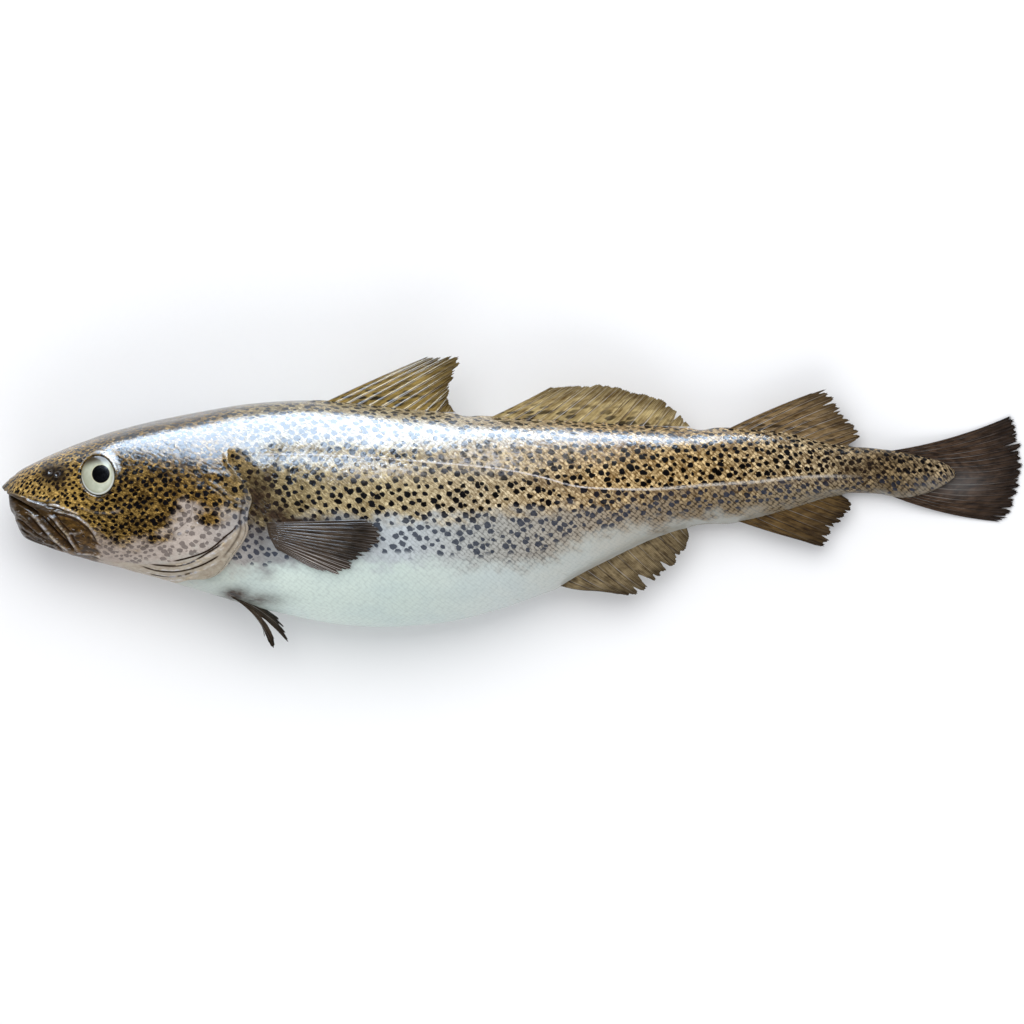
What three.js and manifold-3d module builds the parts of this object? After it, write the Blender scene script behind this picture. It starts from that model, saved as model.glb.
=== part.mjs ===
// A whole raw Atlantic cod, 620 mm long, lying on its right flank as it does on a counter.
// Millimetres. X runs from the snout to the tail, Y from the belly to the back, Z is up, and the
// surface that the fish lies on is Z = 0. The skull is stiff, so the head keeps its height, and the
// tail droops until it meets the surface. The flank that carries the weight is pressed flat there.
import * as THREE from "three";
import { mergeVertices } from "three/addons/utils/BufferGeometryUtils.js";
import Module from "manifold-3d";

const wasm = await Module();
wasm.setup();

// ---- Driving dimensions ---------------------------------------------------------------------

const TOTAL_LENGTH = 620; // snout to the end of the tail fin
const BODY_LENGTH = 581; // snout to the end of the fleshy tail root
const BODY_STEPS = 46; // rings along the body
const RING_SIDES = 28; // corners of one ring

// Fins: half of a web's thickness at its root and tip, how far a ray stands out of the web, and how
// deep the root sits in the flesh.
const FIN = { rootHalf: 1.6, tipHalf: 0.6, ridge: 0.3, rootSink: 4.5, lowerRootSink: 2.5 };
const FIN_REST = 1.1; // height of the middle of a fin that lies on the surface
const DROOP_HEIGHT = 30; // a fin this tall droops in full, and a lower one less

const EYE = { s: 58.8, y: 16.2, radiusX: 11.2, radiusY: 12.2, bulge: 4.4, sunk: 1.2, rim: 0.8 };
const NOSTRILS = [
  { s: 29.6, y: 18.2, radius: 1.0 },
  { s: 34.0, y: 17.0, radius: 1.2 },
];
const NOSTRIL_DEPTH = 2.5;
const MOUTH_GAPE = 1.3; // height of the slit between the lips
const GILL_SLIT = { width: 1.2, depth: 3 };
const JAW_FOLD = { width: 1.0, depth: 1.2 };
const BARBEL = { from: 19, to: 41, radius: 1.1, angle: 208, turn: 20, lift: 0.7 };
const LATERAL_RIDGE = { radius: 1.1, sunk: 0.5, points: 19 };
const CUT_LENGTH = 120; // a cut of this length goes right through the fish
const CUT_BELOW = 20; // and starts this far under the surface

// Rings of the body: distance behind the snout, height of the back, height of the belly, half of the
// thickness, and how high the middle of the ring lies above the surface. The heights are as seen
// from above, and are counted from the line halfway between the highest and lowest fin tips.
const RINGS = [
  [0, 10.0, 8.0, 1.6, 37.0],
  [1.6, 11.6, 6.8, 4.4, 37.1],
  [3.6, 13.6, 5.6, 7.4, 37.2],
  [4.6, 14.5, -3.2, 8.8, 37.3],
  [7.4, 16.6, -8.4, 12.0, 37.6],
  [8.8, 17.9, -13.4, 13.0, 37.7],
  [12.0, 20.2, -19.4, 15.2, 37.9],
  [16.0, 22.4, -22.7, 17.4, 38.0],
  [35.0, 31.2, -29.5, 23.2, 38.5],
  [64.0, 42.2, -38.0, 29.4, 39.3],
  [93.0, 50.0, -45.3, 35.4, 39.9],
  [122.0, 55.2, -54.2, 40.4, 40.4],
  [150.0, 59.9, -62.4, 42.4, 40.8],
  [181.0, 62.3, -70.3, 43.2, 41.0],
  [210.0, 60.6, -74.8, 43.4, 40.8],
  [240.0, 56.8, -75.8, 42.8, 40.2],
  [279.0, 53.2, -71.5, 39.8, 37.6],
  [328.0, 49.9, -56.0, 33.8, 32.2],
  [354.0, 48.2, -41.6, 30.0, 28.7],
  [390.0, 46.2, -23.8, 25.4, 24.3],
  [418.0, 44.8, -14.8, 21.8, 20.8],
  [448.0, 44.2, -11.4, 18.2, 17.2],
  [479.0, 41.8, -3.8, 14.6, 13.7],
  [510.0, 34.4, 4.9, 11.2, 10.5],
  [532.0, 33.0, 5.4, 8.8, 8.4],
  [550.0, 30.6, 3.0, 7.2, 7.0],
  [564.0, 27.4, 5.6, 5.2, 6.1],
  [575.0, 23.9, 10.8, 3.2, 5.4],
  [581.0, 19.6, 15.4, 1.2, 5.0],
];

// The back turns a little towards the viewer, most at the head: distance behind the snout, degrees.
const ROLL = [
  [0, 9],
  [60, 10],
  [150, 8],
  [300, 5],
  [450, 1.5],
  [540, 0],
  [620, 0],
];

// How square a ring is: distance behind the snout, power of its upper half, power of its lower half,
// and how much broader the back is than the belly.
const SQUARENESS = [
  [0, 2.0, 2.0, 0],
  [40, 2.7, 2.1, 0.1],
  [110, 2.7, 2.2, 0.02],
  [200, 2.25, 2.1, 0.0],
  [350, 2.1, 2.0, 0.06],
  [540, 2.0, 2.0, 0.0],
  [581, 2.0, 2.0, 0],
];

// The slit of the mouth and the free edge of the gill cover, as seen from above.
const MOUTH_LINE = [
  [-4, 5.0],
  [4.7, 3.2],
  [8.3, 1.2],
  [13.3, -1.8],
  [18.4, -4.6],
  [23.5, -8.4],
];
const GILL_LINE = [
  [138, 25],
  [143, 18],
  [147.6, 12.6],
  [151, 6],
  [152.2, 1],
  [150.2, -6],
  [149.6, -12],
  [150.2, -16],
  [148.6, -21],
  [145.2, -26.5],
  [140.8, -32.5],
  [136.2, -39],
  [131.6, -43.3],
  [126.4, -45.5],
  [113, -46.5],
];

// The fold behind the upper jaw, which runs from beneath the eye's front down to the corner of the jaw.
const JAW_LINE = [
  [23.5, -8.4],
  [29.5, -14.6],
  [34.5, -20],
  [39.5, -25],
  [44.2, -30.2],
];
// The lateral line arches over the pectoral fin and runs straight along the tail.
const LATERAL_LINE = [
  [156, 29.4],
  [181, 29.4],
  [214, 28.0],
  [241, 25.9],
  [267, 23.8],
  [289, 22.0],
  [305, 20.2],
  [320, 17.4],
  [333, 14.2],
  [343, 11.2],
  [354, 9.2],
  [369, 8.2],
  [384, 7.8],
  [399, 8.1],
  [414, 9.2],
  [431, 10.6],
  [460, 12.5],
  [478, 14.4],
  [492, 15.5],
  [508, 15.9],
  [528, 15.6],
];

// Fins that stand on the middle line. Each has the stretch of back (edge 1) or belly (edge -1) that
// carries it, and the line through the tips of its rays from the first ray to the last, as seen from
// above. Bow is how far the middle of a ray bulges towards the head, and droop how far its tip hangs.
const MEDIAN_FINS = {
  firstDorsal: {
    from: 189, to: 275, edge: 1, rays: 11, bow: 0.6, droop: 5,
    tips: [[259, 88.8], [270, 88.9], [278.6, 87.4], [275, 76], [271.8, 67.5], [273, 59.5], [276.5, 54.5]],
  },
  secondDorsal: {
    from: 289, to: 418, edge: 1, rays: 14, bow: -0.4, droop: 5,
    tips: [[334, 70.2], [350, 71.4], [366, 71.2], [383, 67.8], [397, 64.3], [409, 57], [416, 50.5], [419.5, 46]],
  },
  thirdDorsal: {
    from: 433, to: 513, edge: 1, rays: 11, bow: 1.2, droop: 3,
    tips: [[496, 67.6], [502.5, 68.2], [507, 64], [511.5, 57.6], [517.5, 49], [523.5, 41], [516, 35.4]],
  },
  firstAnal: {
    from: 334, to: 416, edge: -1, rays: 12, bow: 1.6, droop: 2,
    tips: [[362, -54], [384.5, -56.4], [396, -51], [404, -42.5], [413, -34], [418.5, -22], [417.5, -16.5]],
  },
  secondAnal: {
    from: 439, to: 509, edge: -1, rays: 10, bow: 0.8, droop: 2,
    tips: [[493, -24.8], [501, -27.2], [505, -19.8], [509, -13.2], [516, -6.6], [518.5, -0.6], [512, 4.2]],
  },
};

const TAIL_FIN = {
  rays: 17,
  bow: 2.8,
  fallFrom: 540,
  fallTo: 606,
  roots: [[538, 31], [556, 27], [566, 18], [556, 7], [536, 6.5]],
  tips: [
    [614, 52.4], [618.4, 50], [620, 40], [620, 28], [619.8, 17], [618.4, 5], [616.6, -3], [613.6, -9.2], [606, -11.6],
  ],
};

const PECTORAL_FIN = {
  rays: 9,
  lift: 3.6,
  roots: [[161.5, -12.4], [163, -20], [167, -28]],
  tips: [[224, -10.4], [229.5, -17], [227.5, -26], [217, -34.5], [205, -43.2], [189, -40]],
};

const PELVIC_FIN = {
  rays: 5,
  bow: 5,
  drop: 16,
  roots: [[136, -54.8], [138, -56.4], [140.4, -58.4]],
  tips: [[168, -70.4], [171.8, -77], [173.4, -85], [168, -87.6], [164.4, -89.2], [159.5, -82]],
};

// The right pectoral and pelvic fins are swung back between the belly and the surface.
const LOWER_FINS = [
  {
    rays: 6,
    roots: PECTORAL_FIN.roots,
    tips: [[219, -34], [218, -44], [211, -52], [199, -57], [187, -57], [177, -53]],
  },
  {
    rays: 4,
    roots: [[140, -50], [142, -53], [145, -56]],
    tips: [[186, -60], [185, -65], [181, -69], [175, -70]],
  },
];

// ---- Curves ---------------------------------------------------------------------------------

// The value in a column of a table at s, on a smooth curve through the table's rows.
function smoothAt(table, s, column) {
  const last = table.length - 1;
  const slope = (i) => {
    const a = table[Math.max(i - 1, 0)];
    const b = table[Math.min(i + 1, last)];
    return (b[column] - a[column]) / (b[0] - a[0]);
  };
  if (s <= table[0][0]) return table[0][column];
  if (s >= table[last][0]) return table[last][column];
  let i = 0;
  while (table[i + 1][0] < s) i++;
  const span = table[i + 1][0] - table[i][0];
  const t = (s - table[i][0]) / span;
  const start = table[i][column];
  const end = table[i + 1][column];
  return (
    start * (1 + 2 * t) * (1 - t) ** 2 +
    slope(i) * span * t * (1 - t) ** 2 +
    end * t * t * (3 - 2 * t) -
    slope(i + 1) * span * t * t * (1 - t)
  );
}

// The point a share t of the way along a smooth line through points.
function alongLine(points, t) {
  const line = new THREE.SplineCurve(points.map(([s, y]) => new THREE.Vector2(s, y)));
  return line.getPointAt(THREE.MathUtils.clamp(t, 0, 1));
}

// ---- The body's surface ---------------------------------------------------------------------

const signedPower = (value, power) => Math.sign(value) * Math.abs(value) ** power;

// A point of the ring at s, before it is fitted between the back and the belly. The angle is 0 at the
// middle of the back, 90 on the left flank, which faces up, and 180 at the middle of the belly.
function looseRingPoint(s, degrees) {
  const angle = THREE.MathUtils.degToRad(degrees);
  const roll = THREE.MathUtils.degToRad(smoothAt(ROLL, s, 1));
  const power = 2 / smoothAt(SQUARENESS, s, Math.cos(angle) > 0 ? 1 : 2);
  const halfHeight = (smoothAt(RINGS, s, 1) - smoothAt(RINGS, s, 2)) / 2;
  const up = signedPower(Math.cos(angle), power);
  const broad = 1 + smoothAt(SQUARENESS, s, 3) * up;
  const side = signedPower(Math.sin(angle), power) * broad * smoothAt(RINGS, s, 3);
  return {
    y: up * halfHeight * Math.cos(roll) - side * Math.sin(roll),
    z: up * halfHeight * Math.sin(roll) + side * Math.cos(roll),
  };
}

const extents = new Map(); // lowest and highest y of each loose ring, kept because many points ask
function looseExtent(s) {
  if (!extents.has(s)) {
    const heights = Array.from({ length: 180 }, (_, i) => looseRingPoint(s, i * 2).y);
    extents.set(s, { low: Math.min(...heights), high: Math.max(...heights) });
  }
  return extents.get(s);
}

// A point of the skin. A positive inset lies under the skin.
function skinPoint(s, degrees, inset = 0) {
  const loose = looseRingPoint(s, degrees);
  const { low, high } = looseExtent(s);
  const back = smoothAt(RINGS, s, 1);
  const belly = smoothAt(RINGS, s, 2);
  const y = belly + ((loose.y - low) / (high - low)) * (back - belly);
  const middle = (back + belly) / 2;
  const shrunk = 1 - inset / Math.hypot(y - middle, loose.z);
  return new THREE.Vector3(s, middle + (y - middle) * shrunk, smoothAt(RINGS, s, 4) + loose.z * shrunk);
}

// The angle at which the left (side 1) or right (side -1) flank passes height y.
function flankAngle(s, y, side = 1) {
  let high = 2;
  let low = 178;
  for (let i = 0; i < 30; i++) {
    const middle = (high + low) / 2;
    if (skinPoint(s, side * middle).y > y) high = middle;
    else low = middle;
  }
  return (side * (high + low)) / 2;
}

const flankPoint = (s, y, side = 1) => skinPoint(s, flankAngle(s, y, side));

// A geometry whose own Z looks out of the skin, set on the skin and moved out by lift.
function setOnSkin(geometry, s, degrees, lift = 0) {
  const at = skinPoint(s, degrees);
  const along = skinPoint(s + 1, degrees).sub(skinPoint(s - 1, degrees));
  const round = skinPoint(s, degrees + 1).sub(skinPoint(s, degrees - 1));
  const out = along.clone().cross(round).normalize().negate();
  const side = new THREE.Vector3(1, 0, 0).addScaledVector(out, -out.x).normalize();
  const turn = new THREE.Matrix4().makeBasis(side, out.clone().cross(side), out);
  return geometry.applyMatrix4(turn.setPosition(at.addScaledVector(out, lift)));
}

// ---- Solids ---------------------------------------------------------------------------------

// A place between a fin's root line and its tip line, at a share across from the first ray to the last
// and a share along from root to tip.
function finPlace({ roots, tips, bow = 0 }, across, along) {
  const root = alongLine(roots, across);
  const tip = alongLine(tips, across);
  const ray = tip.clone().sub(root).normalize();
  const bulge = bow * 4 * along * (1 - along);
  return root.lerp(tip, along).add(new THREE.Vector2(-ray.y, ray.x).multiplyScalar(bulge));
}

// A closed geometry as a solid that can be joined and cut.
function solidOf(geometry) {
  const bare = geometry.index ? geometry.toNonIndexed() : geometry.clone();
  for (const name of Object.keys(bare.attributes)) if (name !== "position") bare.deleteAttribute(name);
  const merged = mergeVertices(bare, 1e-4);
  return new wasm.Manifold(
    new wasm.Mesh({
      numProp: 3,
      vertProperties: new Float32Array(merged.attributes.position.array),
      triVerts: new Uint32Array(merged.index.array),
    }),
  );
}

function geometryOf(points, triangles) {
  const geometry = new THREE.BufferGeometry().setFromPoints(points);
  geometry.setIndex(triangles);
  return geometry;
}

// The body as rings joined one to the next, closed by a fan at each end.
function bodySolid(inset = 0) {
  const points = [];
  const triangles = [];
  const place = (i) => {
    const share = i / (BODY_STEPS - 1);
    // The rings stand closest at the snout, where the outline turns fastest.
    return BODY_LENGTH * (0.45 * share + 0.55 * share ** 2.2);
  };
  for (let i = 0; i < BODY_STEPS; i++)
    for (let j = 0; j < RING_SIDES; j++) points.push(skinPoint(place(i), (j * 360) / RING_SIDES, inset));
  for (let i = 0; i + 1 < BODY_STEPS; i++)
    for (let j = 0; j < RING_SIDES; j++) {
      const next = (j + 1) % RING_SIDES;
      const a = i * RING_SIDES + j;
      const b = i * RING_SIDES + next;
      triangles.push(a, b, a + RING_SIDES, b, b + RING_SIDES, a + RING_SIDES);
    }
  for (const [ring, facing] of [[0, 1], [BODY_STEPS - 1, -1]]) {
    const first = ring * RING_SIDES;
    const centre = new THREE.Vector3();
    for (let j = 0; j < RING_SIDES; j++) centre.add(points[first + j]);
    points.push(centre.divideScalar(RING_SIDES));
    for (let j = 0; j < RING_SIDES; j++) {
      const next = first + ((j + 1) % RING_SIDES);
      if (facing > 0) triangles.push(points.length - 1, next, first + j);
      else triangles.push(points.length - 1, first + j, next);
    }
  }
  return solidOf(geometryOf(points, triangles));
}

// A fin as a closed plate. centre(across, along) gives the middle of the plate at a share of the way
// from its first ray to its last, and from root to tip. Each ray is a ridge, and the web between two
// rays is thinner and stops short of their tips.
function finSolid({ rays, centre, rows = 4, notch = 0.035 }) {
  const columns = 2 * rays - 1;
  const faces = [[], []];
  const points = [];
  for (const side of [0, 1])
    for (let i = 0; i < columns; i++) {
      faces[side].push([]);
      for (let k = 0; k < rows; k++) {
        const onRay = i % 2 === 0;
        const along = (k / (rows - 1)) * (onRay ? 1 : 1 - notch);
        const web = THREE.MathUtils.lerp(FIN.rootHalf, FIN.tipHalf, along);
        const half = onRay ? web + FIN.ridge : web;
        const point = centre(i / (columns - 1), along);
        point.z += side ? -half : half;
        faces[side][i].push(points.length);
        points.push(point);
      }
    }
  const triangles = [];
  const quad = (a, b, c, d) => triangles.push(a, b, c, a, c, d);
  const [upper, lower] = faces;
  for (let i = 0; i + 1 < columns; i++) {
    for (let k = 0; k + 1 < rows; k++) {
      quad(upper[i][k], upper[i + 1][k], upper[i + 1][k + 1], upper[i][k + 1]);
      quad(lower[i][k], lower[i][k + 1], lower[i + 1][k + 1], lower[i + 1][k]);
    }
    quad(upper[i][0], lower[i][0], lower[i + 1][0], upper[i + 1][0]);
    quad(upper[i][rows - 1], upper[i + 1][rows - 1], lower[i + 1][rows - 1], lower[i][rows - 1]);
  }
  for (let k = 0; k + 1 < rows; k++) {
    quad(upper[0][k], upper[0][k + 1], lower[0][k + 1], lower[0][k]);
    const end = columns - 1;
    quad(upper[end][k], lower[end][k], lower[end][k + 1], upper[end][k + 1]);
  }
  const solid = solidOf(geometryOf(points, triangles));
  if (solid.volume() > 0) return solid;
  for (let i = 0; i < triangles.length; i += 3)
    [triangles[i + 1], triangles[i + 2]] = [triangles[i + 2], triangles[i + 1]];
  return solidOf(geometryOf(points, triangles));
}

// A fin of the back or the belly, which stands in the fish's middle plane.
function medianFin({ from, to, edge, rays, bow, droop, tips }) {
  const middleLine = edge > 0 ? 0 : 180;
  const roots = [0, 0.25, 0.5, 0.75, 1].map((t) => {
    const s = THREE.MathUtils.lerp(from, to, t);
    return [s, skinPoint(s, middleLine, FIN.rootSink).y];
  });
  const centre = (across, along) => {
    const s = THREE.MathUtils.lerp(from, to, across);
    const root = skinPoint(s, middleLine, FIN.rootSink);
    const place = finPlace({ roots, tips, bow: edge * bow * (1 - across) }, across, along);
    const lean = Math.tan(THREE.MathUtils.degToRad(smoothAt(ROLL, s, 1)));
    const height = Math.abs(place.y - root.y);
    const sag = droop * along ** 2 * Math.min(1, height / DROOP_HEIGHT);
    const z = root.z + edge * height * lean - sag;
    return new THREE.Vector3(place.x, place.y, Math.max(z, FIN_REST + FIN.ridge));
  };
  return finSolid({ rays, centre });
}

// The tail fin leaves the tail's thin end and lies down on the surface.
function tailFin() {
  const centre = (across, along) => {
    const place = finPlace({ ...TAIL_FIN, bow: -TAIL_FIN.bow }, across, along);
    const start = smoothAt(RINGS, place.x, 4);
    const fall = THREE.MathUtils.smoothstep(place.x, TAIL_FIN.fallFrom, TAIL_FIN.fallTo);
    return new THREE.Vector3(place.x, place.y, THREE.MathUtils.lerp(start, FIN_REST, fall));
  };
  return finSolid({ rays: TAIL_FIN.rays, centre, rows: 5, notch: 0.02 });
}

// The left pectoral fin lies along the upper flank, and lifts off it towards the tip.
function upperPectoral() {
  const centre = (across, along) => {
    const { x: s, y } = finPlace(PECTORAL_FIN, across, along);
    const lift = PECTORAL_FIN.lift * along ** 1.5 - FIN_REST;
    return new THREE.Vector3(s, y, flankPoint(s, y).z + lift);
  };
  return finSolid({ rays: PECTORAL_FIN.rays, centre });
}

// The left pelvic fin leaves the throat and hangs past the belly line in separate rays.
function upperPelvic() {
  const root = alongLine(PELVIC_FIN.roots, 0.5);
  const start = flankPoint(root.x, root.y).z - FIN_REST;
  const centre = (across, along) => {
    const { x: s, y } = finPlace(PELVIC_FIN, across, along);
    return new THREE.Vector3(s, y, start - PELVIC_FIN.drop * THREE.MathUtils.smoothstep(along, 0, 1));
  };
  return finSolid({ rays: PELVIC_FIN.rays, centre, notch: 0.3 });
}

// A fin of the right side, under the fish: it leaves the flank and comes down to the surface.
function lowerFin(fin) {
  const centre = (across, along) => {
    const { x: s, y } = finPlace(fin, across, along);
    const root = alongLine(fin.roots, across);
    const start = flankPoint(root.x, root.y, -1).z + FIN.lowerRootSink;
    const down = THREE.MathUtils.lerp(start, FIN_REST, Math.sqrt(along));
    const flank = flankPoint(s, y, -1).z + FIN_REST;
    return new THREE.Vector3(s, y, THREE.MathUtils.clamp(down, FIN_REST, Math.max(flank, FIN_REST)));
  };
  return finSolid({ rays: fin.rays, centre });
}

// ---- Eyes, nostrils, mouth, gills and barbel --------------------------------------------------

// What is seen on the left side at a place has its twin at the same angle on the right side.
const bothSides = (s, y) => [1, -1].map((side) => side * flankAngle(s, y));

function eyeball(degrees) {
  const ball = new THREE.SphereGeometry(1, 18, 8).rotateX(Math.PI / 2);
  ball.scale(EYE.radiusX, EYE.radiusY, EYE.bulge);
  return solidOf(setOnSkin(ball, EYE.s, degrees, -EYE.sunk));
}

// The groove between the eye and the skin round it.
function eyeGroove(degrees) {
  const ring = new THREE.TorusGeometry(1, EYE.rim / EYE.radiusX, 4, 20);
  ring.scale(EYE.radiusX + EYE.rim, EYE.radiusY + EYE.rim, 1.5 * EYE.radiusX);
  return solidOf(setOnSkin(ring, EYE.s, degrees));
}

function nostrilPit({ s, radius }, degrees) {
  const pit = new THREE.CylinderGeometry(radius, radius, 2 * NOSTRIL_DEPTH, 8).rotateX(Math.PI / 2);
  return solidOf(setOnSkin(pit, s, degrees));
}

// A band of a given width along a line, running straight through the fish from side to side.
function bandThrough(line, width, steps) {
  const left = [];
  const right = [];
  const curve = new THREE.SplineCurve(line.map(([s, y]) => new THREE.Vector2(s, y)));
  for (let i = 0; i <= steps; i++) {
    const point = curve.getPointAt(i / steps);
    const way = curve.getTangentAt(i / steps);
    const across = new THREE.Vector2(-way.y, way.x).multiplyScalar(width / 2);
    left.push(point.clone().add(across));
    right.unshift(point.clone().sub(across));
  }
  const band = new THREE.ExtrudeGeometry(new THREE.Shape([...left, ...right]), {
    depth: CUT_LENGTH,
    bevelEnabled: false,
    steps: 1,
  });
  return solidOf(band).translate([0, 0, -CUT_BELOW]);
}

// A cord of round section through points.
function cordSolid(points, radius, steps) {
  const section = new THREE.Shape().absarc(0, 0, radius, 0, 2 * Math.PI);
  const cord = new THREE.ExtrudeGeometry(section, {
    extrudePath: new THREE.CatmullRomCurve3(points),
    steps,
    curveSegments: 3,
    bevelEnabled: false,
  });
  return solidOf(cord);
}

// The chin's one barbel, folded back against the right side of the jaw.
function barbel() {
  const points = [0, 0.25, 0.5, 0.75, 1].map((t) => {
    const s = THREE.MathUtils.lerp(BARBEL.from, BARBEL.to, t);
    return skinPoint(s, BARBEL.angle + BARBEL.turn * t, t === 0 ? 2 : -BARBEL.lift);
  });
  return cordSolid(points, BARBEL.radius, 10);
}

// The lateral line as a low ridge on the left (side 1) or right (side -1) flank.
function lateralLine(side) {
  const points = Array.from({ length: LATERAL_RIDGE.points }, (_, i) => {
    const { x: s, y } = alongLine(LATERAL_LINE, i / (LATERAL_RIDGE.points - 1));
    return skinPoint(s, side * flankAngle(s, y), LATERAL_RIDGE.sunk);
  });
  return cordSolid(points, LATERAL_RIDGE.radius, LATERAL_RIDGE.points + 3);
}

// ---- The fish -------------------------------------------------------------------------------

function codSolid() {
  let fish = bodySolid();
  const gills = bandThrough(GILL_LINE, GILL_SLIT.width, 22).subtract(bodySolid(GILL_SLIT.depth));
  const jawFold = bandThrough(JAW_LINE, JAW_FOLD.width, 7).subtract(bodySolid(JAW_FOLD.depth));
  fish = fish.subtract(gills).subtract(jawFold).subtract(bandThrough(MOUTH_LINE, MOUTH_GAPE, 8));
  for (const angle of bothSides(EYE.s, EYE.y)) fish = fish.subtract(eyeGroove(angle)).add(eyeball(angle));
  for (const nostril of NOSTRILS)
    for (const angle of bothSides(nostril.s, nostril.y)) fish = fish.subtract(nostrilPit(nostril, angle));
  const fins = [
    ...Object.values(MEDIAN_FINS).map(medianFin),
    tailFin(),
    upperPectoral(),
    upperPelvic(),
    ...LOWER_FINS.map(lowerFin),
  ];
  for (const piece of [...fins, lateralLine(1), lateralLine(-1), barbel()]) fish = fish.add(piece);
  // What would reach under the surface is pressed flat on it.
  const underSurface = new THREE.BoxGeometry(2 * TOTAL_LENGTH, TOTAL_LENGTH, 2 * CUT_BELOW);
  return fish.subtract(solidOf(underSurface).translate([TOTAL_LENGTH / 2, 0, -CUT_BELOW]));
}

// A mesh of the solid, moved so that its box's bottom centre is the origin.
function codMesh() {
  const solid = codSolid();
  const { numProp, vertProperties, triVerts } = solid.getMesh();
  const geometry = new THREE.BufferGeometry();
  geometry.setAttribute("position", new THREE.BufferAttribute(new Float32Array(vertProperties), numProp));
  geometry.setIndex([...triVerts]);
  geometry.computeBoundingBox();
  const { min, max } = geometry.boundingBox;
  geometry.translate(-(min.x + max.x) / 2, -(min.y + max.y) / 2, -min.z);
  geometry.computeVertexNormals();
  const skin = new THREE.MeshStandardMaterial({ color: 0x8a7350, roughness: 0.3, metalness: 0 });
  const mesh = new THREE.Mesh(geometry, skin);
  mesh.name = "cod";
  return mesh;
}

const cod = new THREE.Group();
cod.add(codMesh());

export default cod;
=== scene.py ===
# %% [markdown]
# # A whole Atlantic cod on its right flank
#
# The fish is one wet, soft, spotted thing, and nearly all of its character is in three places: a stiff
# head full of folds, a smooth flank under very fine scales, and ragged fins with dark rays. It could be
# sculpted by hand or grown from a subdivided cage. Here it is lofted: a short table of rings says how
# tall and how thick the fish is at each place behind the snout, and every later step (folds, eyes,
# fins, spots) asks that one surface where it is. So all pieces meet, and a change in the table moves
# everything together.

# %% Load the frame that every piece is built around
import math

import bpy
import numpy as np
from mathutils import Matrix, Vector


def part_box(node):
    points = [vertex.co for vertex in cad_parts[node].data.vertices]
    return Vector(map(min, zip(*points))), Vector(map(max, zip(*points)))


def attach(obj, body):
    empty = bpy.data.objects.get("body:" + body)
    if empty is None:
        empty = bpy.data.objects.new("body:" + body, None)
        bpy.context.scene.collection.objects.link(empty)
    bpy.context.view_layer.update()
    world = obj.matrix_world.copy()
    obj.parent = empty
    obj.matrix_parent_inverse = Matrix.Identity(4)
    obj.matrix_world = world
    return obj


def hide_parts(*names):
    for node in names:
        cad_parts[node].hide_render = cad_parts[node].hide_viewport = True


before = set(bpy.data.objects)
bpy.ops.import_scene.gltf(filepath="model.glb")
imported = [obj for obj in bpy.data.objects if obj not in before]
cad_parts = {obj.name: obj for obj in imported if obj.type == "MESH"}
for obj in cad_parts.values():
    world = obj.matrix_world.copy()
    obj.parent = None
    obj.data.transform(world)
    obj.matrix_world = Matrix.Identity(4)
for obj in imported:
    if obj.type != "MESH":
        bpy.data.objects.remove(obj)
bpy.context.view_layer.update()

MM = 0.001
node_low, node_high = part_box("cod")
snout_x = node_low[0]
fish_length = (node_high[0] - node_low[0]) / MM
print(f"the cod is {fish_length:.0f} mm long, from x = {snout_x:.3f} m")

# %% [markdown]
# ## The camera
#
# The fish is seen straight from above, as a flat-lay picture is taken. A near camera would swell the
# flank and shrink the tail, so this one stands far away with a long lens, and its frame is as wide at
# the fish as the picture is. The camera comes first, because it says which side has to look best.

# %% Place the camera
CAMERA_HEIGHT = 12.0
SENSOR = 0.036
FRAME_WIDTH = 0.6246
FRAME_LEVEL = 0.026  # height above the table at which the frame has that width
FRAME_CENTRE = (0.0005, -0.0059)

camera_data = bpy.data.cameras.new("camera")
camera_data.sensor_width = SENSOR * 1000
camera_data.lens = SENSOR * 1000 * (CAMERA_HEIGHT - FRAME_LEVEL) / FRAME_WIDTH
camera_data.clip_end = 2 * CAMERA_HEIGHT
camera = bpy.data.objects.new("camera", camera_data)
camera.location = (*FRAME_CENTRE, CAMERA_HEIGHT)
bpy.context.collection.objects.link(camera)
bpy.context.scene.camera = camera
print(f"lens {camera_data.lens:.0f} mm")

# %% [markdown]
# ## The body's measurements
#
# Each row of RINGS is one cut through the fish: how far behind the snout it is, the height of the back
# and of the belly as seen from above, half of the thickness, and how high its middle lies above the
# table. A real cod has a stiff skull, a deep belly behind the gills and a thin, drooping tail, and a few
# rings are enough for that because a smooth curve runs between them. ROLL turns the back a little
# towards the viewer, and SQUARENESS makes the head boxier than an ellipse.

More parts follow.
